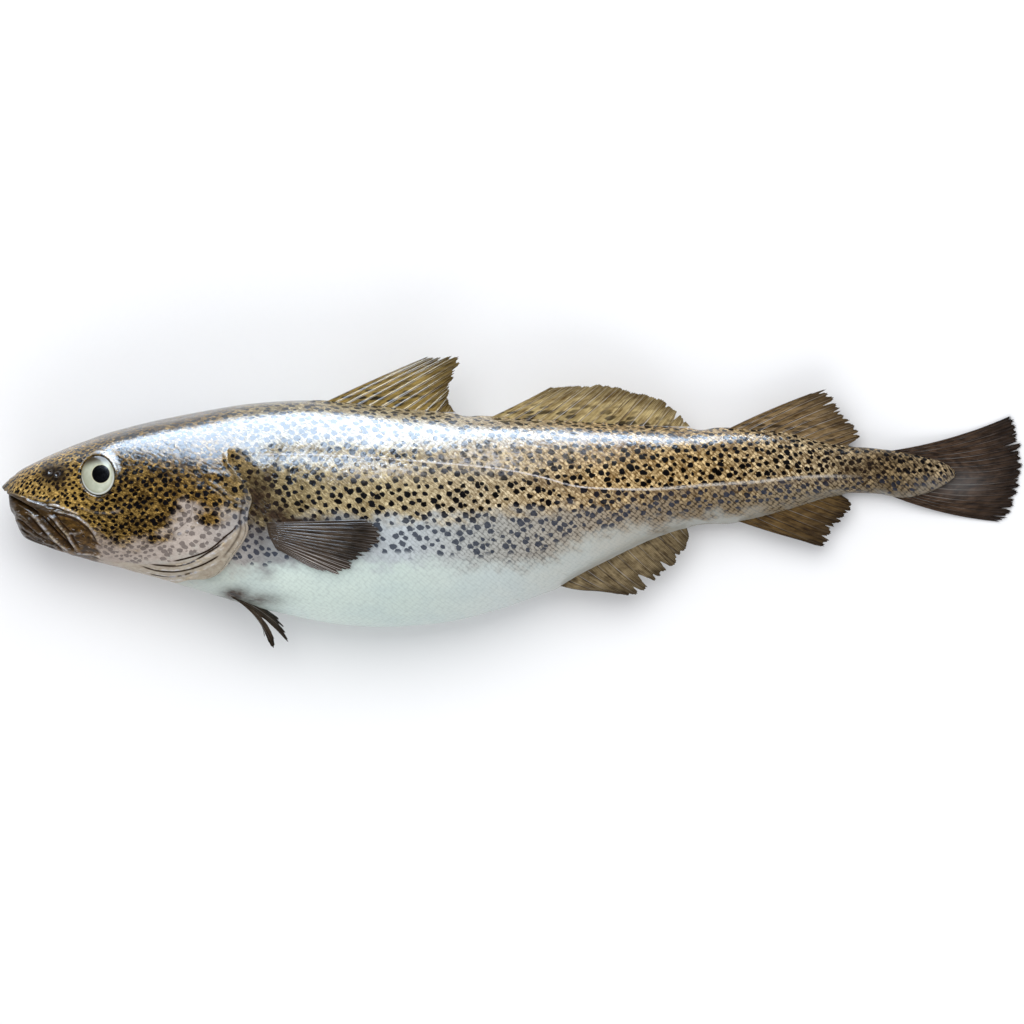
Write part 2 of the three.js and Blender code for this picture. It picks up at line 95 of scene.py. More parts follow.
# %% Body tables, in millimetres and degrees
BODY_LENGTH = 581.0
RINGS = np.array([
    [0, 10.0, 8.0, 1.6, 37.0],
    [1.6, 11.6, 6.8, 4.4, 37.1],
    [3.6, 13.6, 5.6, 7.4, 37.2],
    [4.6, 14.5, -3.2, 8.8, 37.3],
    [7.4, 16.6, -8.4, 12.0, 37.6],
    [8.8, 17.9, -13.4, 13.0, 37.7],
    [12.0, 20.2, -19.4, 15.2, 37.9],
    [16.0, 22.4, -22.7, 17.4, 38.0],
    [35.0, 31.2, -29.5, 23.2, 38.5],
    [64.0, 42.2, -38.0, 29.4, 39.3],
    [93.0, 50.0, -45.3, 35.4, 39.9],
    [122.0, 55.2, -54.2, 40.4, 40.4],
    [150.0, 59.9, -62.4, 42.4, 40.8],
    [181.0, 62.3, -70.3, 43.2, 41.0],
    [210.0, 60.6, -74.8, 43.4, 40.8],
    [240.0, 56.8, -75.8, 42.8, 40.2],
    [279.0, 53.2, -71.5, 39.8, 37.6],
    [328.0, 49.9, -56.0, 33.8, 32.2],
    [354.0, 48.2, -41.6, 30.0, 28.7],
    [390.0, 46.2, -23.8, 25.4, 24.3],
    [418.0, 44.8, -14.8, 21.8, 20.8],
    [448.0, 44.2, -11.4, 18.2, 17.2],
    [479.0, 41.8, -3.8, 14.6, 13.7],
    [510.0, 34.4, 4.9, 11.2, 10.5],
    [532.0, 33.0, 5.4, 8.8, 8.4],
    [550.0, 30.6, 3.0, 7.2, 7.0],
    [564.0, 27.4, 5.6, 5.2, 6.1],
    [575.0, 23.9, 10.8, 3.2, 5.4],
    [581.0, 19.6, 15.4, 1.2, 5.0],
])
ROLL = np.array([[0, 9], [60, 10], [150, 8], [300, 5], [450, 1.5], [540, 0], [620, 0]], float)
SQUARENESS = np.array([
    [0, 2.0, 2.0, 0],
    [40, 2.7, 2.1, 0.1],
    [110, 2.7, 2.2, 0.02],
    [200, 2.25, 2.1, 0.0],
    [350, 2.1, 2.0, 0.06],
    [540, 2.0, 2.0, 0.0],
    [581, 2.0, 2.0, 0],
])
BACK, BELLY, THICK, MIDDLE = 1, 2, 3, 4

# %% [markdown]
# ## Curves through tables
#
# Two kinds of smooth curve are used all over. smooth_at reads a table like a French curve laid through
# its rows. spline runs through points on the plane and walks along them at an even pace, which is how
# rays are spread along a fin's edge.

# %% Curve helpers
CURVE_STEPS = 40  # steps of a spline from one of its points to the next


def smooth_at(table, s, column=1):
    """The value in a column of a table at s, on a smooth curve through the rows."""
    x = table[:, 0]
    v = table[:, column]
    slope = (np.r_[v[1:], v[-1]] - np.r_[v[0], v[:-1]]) / (np.r_[x[1:], x[-1]] - np.r_[x[0], x[:-1]])
    s = np.clip(s, x[0], x[-1])
    i = np.clip(np.searchsorted(x, s) - 1, 0, len(x) - 2)
    span = x[i + 1] - x[i]
    t = (s - x[i]) / span
    start = v[i] * (1 + 2 * t) * (1 - t) ** 2 + slope[i] * span * t * (1 - t) ** 2
    return start + v[i + 1] * t * t * (3 - 2 * t) - slope[i + 1] * span * t * t * (1 - t)


def spline(points, shares):
    """Places at shares of the way along a smooth line through points."""
    p = np.array(points, float)
    ends = np.vstack([p[:1], p, p[-1:]])
    t = np.linspace(0, len(p) - 1, CURVE_STEPS * (len(p) - 1) + 1)
    i = np.minimum(t.astype(int), len(p) - 2)
    w = (t - i)[:, None]
    a, b, c, d = ends[i], ends[i + 1], ends[i + 2], ends[i + 3]
    curve = b + 0.5 * w * (c - a + w * (2 * a - 5 * b + 4 * c - d + w * (3 * (b - c) + d - a)))
    walked = np.r_[0, np.cumsum(np.linalg.norm(np.diff(curve, axis=0), axis=1))]
    at = np.clip(shares, 0, 1) * walked[-1]
    return np.stack([np.interp(at, walked, curve[:, k]) for k in range(p.shape[1])], -1)


def smoothstep(value, start, end):
    """0 before start, 1 after end, and a smooth S between. Start may be the larger."""
    t = np.clip((value - start) / (end - start), 0, 1)
    return t * t * (3 - 2 * t)


def bell(distance, width):
    """1 at no distance, falling off smoothly within about a width."""
    return np.exp(-((distance / width) ** 2))


# %% [markdown]
# ## Where the skin is
#
# A place on the fish is a distance s behind the snout and an angle round the body: 0 at the middle of
# the back, 90 on the left flank, which faces up, and 180 at the middle of the belly. The right side has
# the same angles below zero. skin_point turns such a place into millimetres. The turned ring is then
# fitted between the back and the belly, so that the outline stays exactly as measured.

# %% The smooth skin
UPPER_LIMIT, LOWER_LIMIT = 2.0, 178.0  # degrees between which a place on the flank is looked for
HALVINGS = 26


def signed_power(value, power):
    return np.sign(value) * np.abs(value) ** power


def loose_ring(s, degrees):
    """Side and height of a ring's point before the ring is fitted to the outline."""
    angle = np.radians(degrees)
    roll = np.radians(smooth_at(ROLL, s))
    power = 2 / np.where(np.cos(angle) > 0, smooth_at(SQUARENESS, s, 1), smooth_at(SQUARENESS, s, 2))
    half_height = (smooth_at(RINGS, s, BACK) - smooth_at(RINGS, s, BELLY)) / 2
    up = signed_power(np.cos(angle), power)
    broad = 1 + smooth_at(SQUARENESS, s, 3) * up
    side = signed_power(np.sin(angle), power) * broad * smooth_at(RINGS, s, THICK)
    y = up * half_height * np.cos(roll) - side * np.sin(roll)
    return y, up * half_height * np.sin(roll) + side * np.cos(roll)


every_s = np.linspace(0, BODY_LENGTH, int(2 * BODY_LENGTH) + 1)  # every half millimetre
loose_y = loose_ring(every_s[:, None], np.arange(0, 360, 2.0)[None, :])[0]
loose_low, loose_high = loose_y.min(1), loose_y.max(1)


def skin_point(s, degrees, inset=0.0):
    """Millimetres of a place on the skin, or under it by an inset."""
    s, degrees = np.broadcast_arrays(np.asarray(s, float), np.asarray(degrees, float))
    y, z = loose_ring(s, degrees)
    low = np.interp(s, every_s, loose_low)
    high = np.interp(s, every_s, loose_high)
    back = smooth_at(RINGS, s, BACK)
    belly = smooth_at(RINGS, s, BELLY)
    y = belly + (y - low) / (high - low) * (back - belly)
    middle = (back + belly) / 2
    kept = 1 - inset / np.maximum(np.hypot(y - middle, z), 0.1)
    return np.stack([s, middle + (y - middle) * kept, smooth_at(RINGS, s, MIDDLE) + z * kept], -1)


def flank_angle(s, y, side=1):
    """The angle at which the left (side 1) or right (side -1) flank passes height y."""
    s, y = np.broadcast_arrays(np.asarray(s, float), np.asarray(y, float))
    high = np.full(s.shape, UPPER_LIMIT)
    low = np.full(s.shape, LOWER_LIMIT)
    for _ in range(HALVINGS):
        middle = (high + low) / 2
        above = skin_point(s, side * middle)[..., 1] > y
        high = np.where(above, middle, high)
        low = np.where(above, low, middle)
    return side * (high + low) / 2


def flank_point(s, y, side=1):
    return skin_point(s, flank_angle(s, y, side))


print("thickest at", round(float(every_s[smooth_at(RINGS, every_s, THICK).argmax()])), "mm")

# %% [markdown]
# ## A net over the whole fish
#
# The skin is one net of rows and columns, because later every fold and spot is a sum over the net's
# points. Columns keep an even pace round the body, closer on the flank that faces up. Rows stand
# closest at the snout, where the outline turns fastest, and bend near the gills until one of them runs
# exactly along the free edge of the gill cover. That row becomes a real lip: the edge is rounded over,
# tucked under, and the shoulder starts below it.

# %% The gill cover's edge and the net's columns
GILL_LINE = [
    (138, 25), (143, 18), (147.6, 12.6), (151, 6), (152.2, 1.0), (150.2, -6), (149.6, -12), (150.2, -16),
    (148.6, -21), (145.2, -26.5), (140.8, -32.5), (136.2, -39), (131.6, -43.3), (126.4, -45.5), (113, -46.5),
]
NAPE_S, THROAT_S, GILL_S = 139.0, 101.0, 150.0
NAPE_ANGLE = 40  # the edge runs straight round the body down to this angle
EDGE_ROUNDS = 8  # how often each column's meeting with the edge is worked out anew
UPPER_COLUMNS, LOWER_COLUMNS = 125, 52  # in each quarter of a ring
QUARTERS = [  # each quarter's first and last angle, and its columns
    (180, 90, UPPER_COLUMNS),
    (90, 0, UPPER_COLUMNS),
    (0, -90, LOWER_COLUMNS),
    (-90, -180, LOWER_COLUMNS),
]

gill = np.array(GILL_LINE, float)
gill_table = np.vstack([
    [[0, NAPE_S], [NAPE_ANGLE, NAPE_S]],
    np.stack([flank_angle(gill[:, 0], gill[:, 1]), gill[:, 0]], -1),
    [[180, THROAT_S]],
])

table_s = np.linspace(0, BODY_LENGTH, int(BODY_LENGTH) + 1)  # every millimetre
fine_angles = np.linspace(180, -180, 4 * 360 + 1)  # four to a degree
table_points = skin_point(table_s[:, None], fine_angles[None, :])
table_arc = np.cumsum(np.linalg.norm(np.diff(table_points, axis=1), axis=2), axis=1)
table_arc = np.hstack([np.zeros((len(table_s), 1)), table_arc])
angle_table, girth_table = [], []
for arc in table_arc:
    angles = []
    for start, end, count in QUARTERS:
        a, b = np.interp([-start, -end], -fine_angles, arc)
        angles.append(np.interp(a + (b - a) * np.arange(count) / count, arc, fine_angles))
    angles = np.concatenate(angles)
    angle_table.append(angles)
    girth_table.append(np.interp(0, -fine_angles, arc) - np.interp(-angles, -fine_angles, arc))
angle_table, girth_table = np.array(angle_table), np.array(girth_table)
COLUMNS = angle_table.shape[1]


def by_column(table, s):
    """Values of a table with one row for each of table_s, at each column's own s."""
    place = np.clip(s / BODY_LENGTH * (len(table_s) - 1), 0, len(table_s) - 1.001)
    i = place.astype(int)
    share = place - i
    j = np.broadcast_to(np.arange(COLUMNS), s.shape)
    return table[i, j] * (1 - share) + table[i + 1, j] * share


edge_s = np.full(COLUMNS, GILL_S)
for _ in range(EDGE_ROUNDS):
    edge_s = smooth_at(gill_table, np.abs(by_column(angle_table, edge_s)))
print(COLUMNS, "columns, gill edge from", round(edge_s.min(), 1), "to", round(edge_s.max(), 1), "mm")

# %% The net's rows
HEAD_ROWS = 236
TRUNK_STOPS = [GILL_S, 293.0, 437.0, BODY_LENGTH]  # where one trunk piece ends and the next begins
TRUNK_ROWS = [216, 170, 150]
BEND_FROM, BEND_TO = 40.0, 280.0
TUCK = 2.6  # how deep the shoulder starts below the lip
LIP = [  # the lip's section: mm past the edge, and mm above the smooth skin
    (-1.0, 0.9), (-0.2, 0.85), (0.4, 0.4), (0.45, -0.5), (-0.2, -1.3), (-1.2, -2.0), (-1.4, -2.5),
    (-0.4, -TUCK), (0.8, -TUCK),
]
LIP_TOP = 2  # the row of the lip that lies on the edge itself
LIP_STEP = 0.4  # spacing of the same rows at the nape, where there is no lip
LIP_UPPER, LIP_LOWER = (52, 66), (172, 146)  # degrees between which the lip grows from nothing to full
TURN_UNDER = 5  # rows of the lip that belong to the head
SHOULDER_START = 2.8  # mm behind the edge of the first row that is the shoulder's alone
SHOULDER_RUN = 17.0  # how far behind the edge the shoulder comes up to full height
CLOSE_ROWS = 4  # rows just before the edge that the lip's own rows take the place of

profile_s = np.linspace(0, GILL_S, int(20 * GILL_S) + 1)  # twenty to a millimetre
steep = [np.gradient(smooth_at(RINGS, profile_s, k), profile_s) for k in (BACK, BELLY, THICK)]
profile_arc = np.cumsum(np.sqrt(1 + np.max(np.square(steep), axis=0)))
profile_arc -= profile_arc[0]
head_s = np.interp(np.linspace(0, profile_arc[-1], HEAD_ROWS), profile_arc, profile_s)[:-CLOSE_ROWS]


def bent(row_s):
    """Each column's own s for a row, bent so that the row at GILL_S runs along the gill edge."""
    share = smoothstep(row_s, BEND_FROM, GILL_S) * (1 - smoothstep(row_s, GILL_S, BEND_TO))
    return row_s + (edge_s - GILL_S) * share


edge_angle = np.abs(by_column(angle_table, edge_s))
lip_share = smoothstep(edge_angle, *LIP_UPPER) * smoothstep(edge_angle, *LIP_LOWER)
rows = [bent(s) for s in head_s]
lip_height = [np.zeros(COLUMNS) for _ in head_s]
head_end = len(rows) + TURN_UNDER
for k, (offset, height) in enumerate(LIP):
    flat = (k - LIP_TOP) * LIP_STEP
    rows.append(edge_s + flat * (1 - lip_share) + offset * lip_share)
    lip_height.append(height * lip_share)
stops = [head_end]
for k, count in enumerate(TRUNK_ROWS):
    first = 1 if k else 0
    start = TRUNK_STOPS[k] + (0 if k else SHOULDER_START)
    for s in np.linspace(start, TRUNK_STOPS[k + 1], count)[first:]:
        rows.append(bent(s))
        lip_height.append(-TUCK * lip_share * (1 - smoothstep(s, GILL_S, GILL_S + SHOULDER_RUN)))
    stops.append(len(rows) - 1)
net_s = np.clip(np.array(rows), 0, BODY_LENGTH)
lip_height = np.array(lip_height)
net_angle = by_column(angle_table, net_s)
net_girth = by_column(girth_table, net_s)
net = skin_point(net_s, net_angle)
twin = skin_point(net_s, np.abs(net_angle))  # the same place on the left side, where features are drawn
print("net of", net.shape[:2], "points, piece borders at rows", stops)

# %% [markdown]
# ## Folds, plates and lips
#
# A cod's face is all overlapping plates: lips round a cleft painted black as its shade, the long bone of
# the upper jaw with a painted highlight along its edge, loose wrinkled skin under it, the cheek, the gill
# cover, and the thin pleated membranes beneath. Sculpting would give these by eye. Here each one is a
# line on the flank with a profile across it, because then the same line can also lay painted shade in its
# groove or a painted highlight along its ridge later, and the right side gets the same face for nothing.

# %% Distance from the skin's points to a line on the flank
LINE_PIECE = 1.5  # mm of each straight piece of a line


def grid_normals(points):
    """Outward normals of the net's points."""
    along = np.gradient(points, axis=0)
    round_body = np.roll(points, -1, 1) - np.roll(points, 1, 1)
    out = np.cross(along, round_body)
    return out / np.maximum(np.linalg.norm(out, axis=2, keepdims=True), 1e-9)


def near_line(points, line, reach):
    """Distance to a line on the left flank in mm, on which side of it, and the share along it.

    The side is positive to the left of the line's way, seen from above. Points further away than the
    reach get that distance, so that only the points near the line have to be worked out."""
    length = np.linalg.norm(np.diff(np.array(line, float), axis=0), axis=1).sum()
    flat = spline(line, np.linspace(0, 1, max(6, int(length / LINE_PIECE))))
    path = flank_point(flat[:, 0], flat[:, 1])
    distance = np.full(points.shape[:2], float(reach))
    side = np.ones(points.shape[:2])
    along = np.zeros(points.shape[:2])
    low, high = path.min(0) - reach, path.max(0) + reach
    close = np.all((points > low) & (points < high), axis=2)
    p = points[close]
    best = np.full(len(p), float(reach))
    for k in range(len(path) - 1):
        a, b = path[k], path[k + 1]
        way = b - a
        t = np.clip((p - a) @ way / (way @ way), 0, 1)
        gap = p - a - t[:, None] * way
        d = np.linalg.norm(gap, axis=1)
        nearer = d < best
        best = np.where(nearer, d, best)
        cross = way[0] * gap[:, 1] - way[1] * gap[:, 0]
        side[close] = np.where(nearer, np.sign(cross), side[close])
        along[close] = np.where(nearer, (k + t) / (len(path) - 1), along[close])
    distance[close] = best
    return distance, side, along


# %% Lines of the face, as seen from above
MOUTH_LINE = [(-2, 4.6), (4.7, 3.2), (8.3, 1.2), (13.3, -1.8), (18.4, -4.6), (23.5, -8.4)]
MOUTH_END = [(22, -7.2), (25.5, -10.4), (29.5, -14.6), (34.5, -20), (39.5, -25), (44.2, -30.2)]
UPPER_LIP = [(1, 6.6), (4.7, 5.3), (10.8, 2.9), (18.4, -0.4), (26.5, -3.4), (31, -5.8)]
LIP_CREASE = [(3, 7.2), (10.8, 4.7), (18.4, 2.4), (24, 0.4), (29, -1.2)]
LOWER_LIP = [(5, -2.6), (10.8, -6.2), (15.5, -9.4), (18.6, -13.4), (23, -17.6), (29, -22.2), (35, -26.0)]
CHIN_CREASES = [
    [(7.8, -9.9), (12.3, -12.3), (15.9, -15.4), (22.4, -20.3), (29.5, -24.2)],
    [(11, -15.6), (15.4, -18.8), (20.5, -22.2), (26, -24.6)],
    [(14, -20.4), (19, -23.2), (25.5, -25.8), (33, -27.9)],
]
LIP_LOOP = [
    (16.5, -6.2), (18.8, -7.9), (21.5, -10.6), (24.7, -14.2), (27.8, -17.8), (31.5, -21.8), (36.4, -26.2),
    (41, -30.0),
]
JAW_FOLD = [
    (27.5, -7.0), (31.8, -10.0), (34.8, -14.1), (37.9, -17.4), (40.4, -20.2), (41.6, -23), (43.9, -26.3),
    (46.2, -29.6),
]
JAW_BONE = [
    (30.5, -5.0), (36.6, -6.2), (42.2, -7.6), (46.7, -9.7), (50.8, -12.7), (53.8, -15.4), (57.0, -19.6),
    (59.2, -24.6),
]
JAW_GLINT = [(28, -0.9), (33.6, -2.1), (38.6, -4.2), (43.2, -5.8), (47, -8.0)]
JAW_PLEAT = [(40.5, -19.4), (43.4, -18.9), (46.4, -18.7), (50.4, -17.6)]
SNOUT_FOLD = [(15, 4.2), (22.9, 1.9), (29.9, 1.0), (37, 0.2)]
JAW_CORNER = [(44, -30.2), (49, -31.0), (55, -31.6), (62, -33.6)]
EYE_FOLD = [(45, -2.2), (51.8, -4.6), (56.8, -6.1), (61.9, -6.6), (67, -6.1), (74, -4.2)]
EYE_SKIRT = [(50.5, 4.6), (52.8, 3.0), (56, 1.8), (59.5, 1.2), (63, 1.9)]
CHEEK_EDGE = [
    (120.5, 14.5), (118, 8), (117.4, 0), (115.5, -9), (110, -15), (104.3, -18.8), (99.4, -23.7), (93, -27),
    (84, -29),
]
CHEEK_RIDGE = [(121, -12.3), (116.2, -14.8), (110.6, -18.2), (105.4, -20.2)]
COVER_EDGE = [(126, 13.2), (132.3, 9.0), (138.6, 3.8), (144.2, 1.4), (150.8, -1.2)]
COVER_RAYS = [
    [(124, 18), (133, 16.5), (141.4, 15)],
    [(122, -3), (131, -6.0), (140, -9.2), (147, -10.5)],
    [(118, -12), (126, -15.6), (135, -18.4), (141, -17)],
]
THROAT_FOLDS = [
    [
        (144.6, -13.6), (141.4, -17.4), (136.5, -21.2), (132.3, -25.1), (126.7, -29.2), (120.4, -32.0),
        (112, -34.4), (102.2, -36.3),
    ],
    [
        (137, -23.6), (130.2, -28.2), (124.6, -31.6), (119, -34.9), (113.4, -37.2), (105, -38.6), (98, -38.4),
        (88, -37.6),
    ],
    [
        (134.5, -31.6), (127.4, -35.8), (121.8, -38.4), (114.8, -40.5), (106.4, -41.8), (99.4, -41.9),
        (91, -40.6), (82, -38.2),
    ],
    [(121, -41.8), (115, -42.8), (108, -44.2), (98, -44.4), (88, -42.6)],
]
LATERAL_LINE = [
    (150, 29), (181, 29.4), (214, 28.0), (241, 25.9), (267, 23.8), (289, 22.0), (305, 20.2), (320, 17.4),
    (333, 14.2), (343, 11.2), (354, 9.2), (369, 8.2), (384, 7.8), (399, 8.1), (414, 9.2), (431, 10.6),
    (460, 12.5), (478, 14.4), (492, 15.5), (508, 15.9), (528, 15.6),
]

# %% Profiles across the lines
GROOVE, RIDGE, STEP = "groove", "ridge", "step"


def moved(line, tailward, upward):
    """The same line, moved by so many mm towards the tail and towards the back."""
    return [(s + tailward, y + upward) for s, y in line]


# Each row: line, kind of profile, width and height in mm, strengths of painted shade and painted highlight.
FEATURES = [
    (MOUTH_LINE, GROOVE, 1.1, 3.6, 1.0, 0.0),
    (MOUTH_END, GROOVE, 1.3, 1.9, 0.9, 0.0),
    (UPPER_LIP, RIDGE, 1.6, 1.1, 0.0, 0.05),
    (LIP_CREASE, GROOVE, 0.7, 0.4, 0.3, 0.0),
    (LOWER_LIP, RIDGE, 1.8, 0.8, 0.0, 0.0),
    *[(line, GROOVE, 0.7, 0.9, 0.75, 0.0) for line in CHIN_CREASES],
    *[(moved(line, 1.1, 1.3), RIDGE, 0.8, 0.5, 0.0, 0.1) for line in CHIN_CREASES],
    (LIP_LOOP, RIDGE, 1.2, 0.8, 0.0, 0.5),
    (moved(LIP_LOOP, -2.2, -1.1), GROOVE, 0.9, 1.2, 0.8, 0.0),
    (JAW_FOLD, RIDGE, 0.9, 0.7, 0.0, 0.45),
    (moved(JAW_FOLD, -1.8, -0.8), GROOVE, 0.7, 1.2, 0.7, 0.0),
    (moved(JAW_FOLD, 1.9, 0.7), GROOVE, 1.0, 0.9, 0.7, 0.0),
    (JAW_BONE, STEP, 3.2, -1.5, 0.0, 0.0),
    (JAW_BONE, RIDGE, 0.7, 0.7, 0.0, 0.35),
    (moved(JAW_BONE, -0.7, -1.8), GROOVE, 0.9, 0.6, 0.7, 0.0),
    (JAW_GLINT, RIDGE, 0.9, 0.8, 0.0, 0.9),
    (moved(JAW_GLINT, -0.2, -1.7), GROOVE, 0.7, 0.6, 0.5, 0.0),
    (JAW_PLEAT, RIDGE, 0.8, 0.6, 0.0, 0.25),
    (SNOUT_FOLD, RIDGE, 0.9, 0.6, 0.0, 0.1),
    (moved(SNOUT_FOLD, 0, -1.8), GROOVE, 0.8, 0.5, 0.4, 0.0),
    (JAW_CORNER, RIDGE, 1.2, 0.8, 0.0, 0.45),
    (EYE_FOLD, RIDGE, 0.8, 0.4, 0.0, 0.1),
    (moved(EYE_FOLD, 0, -1.6), GROOVE, 0.8, 0.4, 0.3, 0.0),
    (EYE_SKIRT, RIDGE, 0.6, 0.3, 0.0, 0.1),
    (CHEEK_EDGE, STEP, 5.0, 0.7, 0.3, 0.0),
    (CHEEK_RIDGE, RIDGE, 1.1, 0.7, 0.0, 0.25),
    (COVER_EDGE, RIDGE, 1.0, 0.45, 0.0, 0.1),
    (moved(COVER_EDGE, -0.6, -1.9), GROOVE, 0.9, 0.6, 0.4, 0.0),
    *[(line, RIDGE, 2.2, 0.35, 0.0, 0.0) for line in COVER_RAYS],
    *[(line, STEP, 3.4, 0.8, 0.8, 0.0) for line in THROAT_FOLDS],
    *[(moved(line, 0.5, -2.2), RIDGE, 0.9, 0.3, 0.0, 0.5) for line in THROAT_FOLDS],
]

# %% Draw every line into the net
# A line's dark core is painted shade, and its pale core a painted highlight; both as shares of its width.
DARK_WIDTH, PALE_WIDTH = 0.62, 0.7  # a line's dark or bright core, as shares of its profile's width
REACH = 4  # a profile is worked out as far as this many widths from its line
STEP_EDGE = 0.35  # half of a step's width in mm
STEP_SHADE, STEP_SHADE_WIDTH = 0.4, 0.5  # the dark line at a step's foot: distance and width in mm
FADE_IN, FADE_OUT = 0.1, 0.86  # shares of a line within which it comes and goes
PAST_GILL = 40  # rows behind the gill edge that the lines of the face may reach

head_part = slice(0, stops[0] + PAST_GILL)
# Summed over the net: the height of folds, painted shade in grooves and at the foot of steps, and painted
# highlight along ridges and on pale edges.
relief = np.zeros(net.shape[:2])
crease_shade = np.zeros(net.shape[:2])
pale_edge_and_highlight = np.zeros(net.shape[:2])
for line, kind, width, height, dark, pale in FEATURES:
    reach = REACH * width
    d, side, along = near_line(twin[head_part], line, reach)
    ends = smoothstep(along, 0, FADE_IN) * smoothstep(along, 1, FADE_OUT)
    if kind == STEP:
        # The side to the left of the line's way lies higher, and falls off sharply at the line.
        left = smoothstep(side * d, -STEP_EDGE, STEP_EDGE)
        raised = np.exp(-d / width) * left * smoothstep(d, reach, reach / 2)
        relief[head_part] += height * raised * ends
        shade = dark * ends * bell(side * d + STEP_SHADE, STEP_SHADE_WIDTH)
        crease_shade[head_part] = np.maximum(crease_shade[head_part], shade)
        continue
    across = bell(d, width) * ends
    relief[head_part] += (height if kind == RIDGE else -height) * across
    crease_shade[head_part] = np.maximum(crease_shade[head_part], dark * bell(d, width * DARK_WIDTH) * ends)
    pale_edge_and_highlight[head_part] = np.maximum(pale_edge_and_highlight[head_part], pale * bell(d, width * PALE_WIDTH) * ends)
print(len(FEATURES), "features, relief from", relief.min().round(2), "to", relief.max().round(2), "mm")

# %% [markdown]
# ## Eye sockets, nostrils, lateral line and fin bases
#
# The eye sits in a round pit with a raised rim of clear skin, and two nostrils lie in a dark patch in
# front of it. Further back, the lateral line is a fine raised thread over a shallow hollow between the
# muscles, and each fin stands on a low ridge of flesh. All of these are again sums over the net.

# %% Round features
EYE = {"s": 58.8, "y": 16.2, "across": 10.7, "tall": 12.0, "pit": 3.4}
PIT_EDGE = (0.93, 1.03)  # where the pit's wall ends and starts, as shares of the eye
EYE_RIMS = [(0.9, 1.07, 0.055), (0.5, 1.2, 0.16)]  # height in mm, and place and width as shares
EYE_SIDE = 20  # mm out of the eye's middle beyond which a point belongs to something else
FAR = 9.0  # a reach that is well outside the eye
# Painted highlights round the eye's pit: one on the upper right of the rim, a faint one on the lower left.
LID_GLINTS = [  # brightness, distance and width as shares of the eye, and direction and spread in degrees
    (0.8, 1.14, 0.09, 48, 34),
    (0.4, 1.04, 0.03, -130, 50),
]
NOSTRILS = [(29.6, 18.2, 0.8), (34.0, 17.0, 1.0)]  # place and radius
NOSTRIL_DEPTH, NOSTRIL_RIM = 0.6, 0.05
NOSTRIL_SHADE = 1.1  # radius of the darkness in a nostril, in nostril radii
RIM_PLACE = 1.75  # radius of its rim, in nostril radii
RIM_WIDTH, GLINT_WIDTH, RIM_GLINT = 0.5, 0.3, 0.12  # two widths in mm, and how much the rim brightens
NOSTRIL_PATCH = 7.0  # reach of the dark patch in mm


def frame_on_skin(s, y, side=1):
    """Place, and the directions towards the tail, towards the back and out of the skin."""
    angle = flank_angle(s, y, side)
    place = skin_point(s, angle)
    tail = skin_point(s + 1, angle) - skin_point(s - 1, angle)
    tail /= np.linalg.norm(tail)
    back = skin_point(s, angle - side * 1.0) - skin_point(s, angle + side * 1.0)
    back -= tail * (back @ tail)
    back /= np.linalg.norm(back)
    return place, tail, back, side * np.cross(tail, back)


place, tail, back, out = frame_on_skin(EYE["s"], EYE["y"])
offset = twin - place
eye_reach = np.hypot(offset @ tail / EYE["across"], offset @ back / EYE["tall"])
eye_reach = np.where(np.abs(offset @ out) < EYE_SIDE, eye_reach, FAR)
relief -= EYE["pit"] * (1 - smoothstep(eye_reach, *PIT_EDGE))
relief += sum(height * bell(eye_reach - distance, width) for height, distance, width in EYE_RIMS)
eye_turn = np.degrees(np.arctan2(offset @ back, offset @ tail))
lid_glint = sum(
    brightness * bell(eye_reach - distance, width) * bell(eye_turn - direction, spread)
    for brightness, distance, width, direction, spread in LID_GLINTS
)
pale_edge_and_highlight = np.maximum(pale_edge_and_highlight, lid_glint)
nostril_dark = np.zeros(net.shape[:2])
for s, y, radius in NOSTRILS:
    away = np.linalg.norm(twin - flank_point(s, y), axis=2)
    from_rim = away - RIM_PLACE * radius
    relief += NOSTRIL_RIM * bell(from_rim, RIM_WIDTH) - NOSTRIL_DEPTH * bell(away, radius)
    crease_shade = np.maximum(crease_shade, bell(away, NOSTRIL_SHADE * radius))
    pale_edge_and_highlight = np.maximum(pale_edge_and_highlight, RIM_GLINT * bell(from_rim, GLINT_WIDTH))
    nostril_dark = np.maximum(nostril_dark, bell(away, NOSTRIL_PATCH))

# %% Lines and ridges of the trunk
LINE_HEIGHT, LINE_WIDTH = 0.42, 0.75
LINE_RISE = (200, 310)  # the stretch behind the gills in which the line's thread comes up
LINE_START, LINE_END = (0, 0.03), (1, 0.94)  # shares of the line in which it comes and goes
HOLLOW_DEPTH, HOLLOW_WIDTH = 0.55, 5.0
FIN_BASES = [  # first and last place of each fin on the middle line, and the angle of the back or belly
    (189, 275, 0), (289, 418, 0), (433, 513, 0), (334, 416, 180), (439, 509, 180),
]
BASE_HEIGHT, BASE_WIDTH = 1.1, 2.6
BASE_BEFORE, BASE_AFTER = 6, 8  # mm that the ridge under a fin runs on before and behind it
BASE_RISE = 3  # mm behind the fin's front at which the ridge is full
LINE_REACH = 40.0
OVERLAP_ROWS = 8  # rows in front of the gill edge that the trunk's lines may reach
trunk_part = slice(stops[0] - OVERLAP_ROWS, None)
line_distance = np.full(net.shape[:2], LINE_REACH)
d, side, along = near_line(twin[trunk_part], LATERAL_LINE, LINE_REACH)
line_distance[trunk_part] = side * d
line_shown = np.zeros(net.shape[:2])
line_shown[trunk_part] = smoothstep(along, *LINE_START) * smoothstep(along, *LINE_END)
line_height = LINE_HEIGHT * smoothstep(net_s, *LINE_RISE)
hollow = HOLLOW_DEPTH * bell(line_distance, HOLLOW_WIDTH)
relief += line_shown * (line_height * bell(line_distance, LINE_WIDTH) - hollow)
fin_base = np.zeros(net.shape[:2])
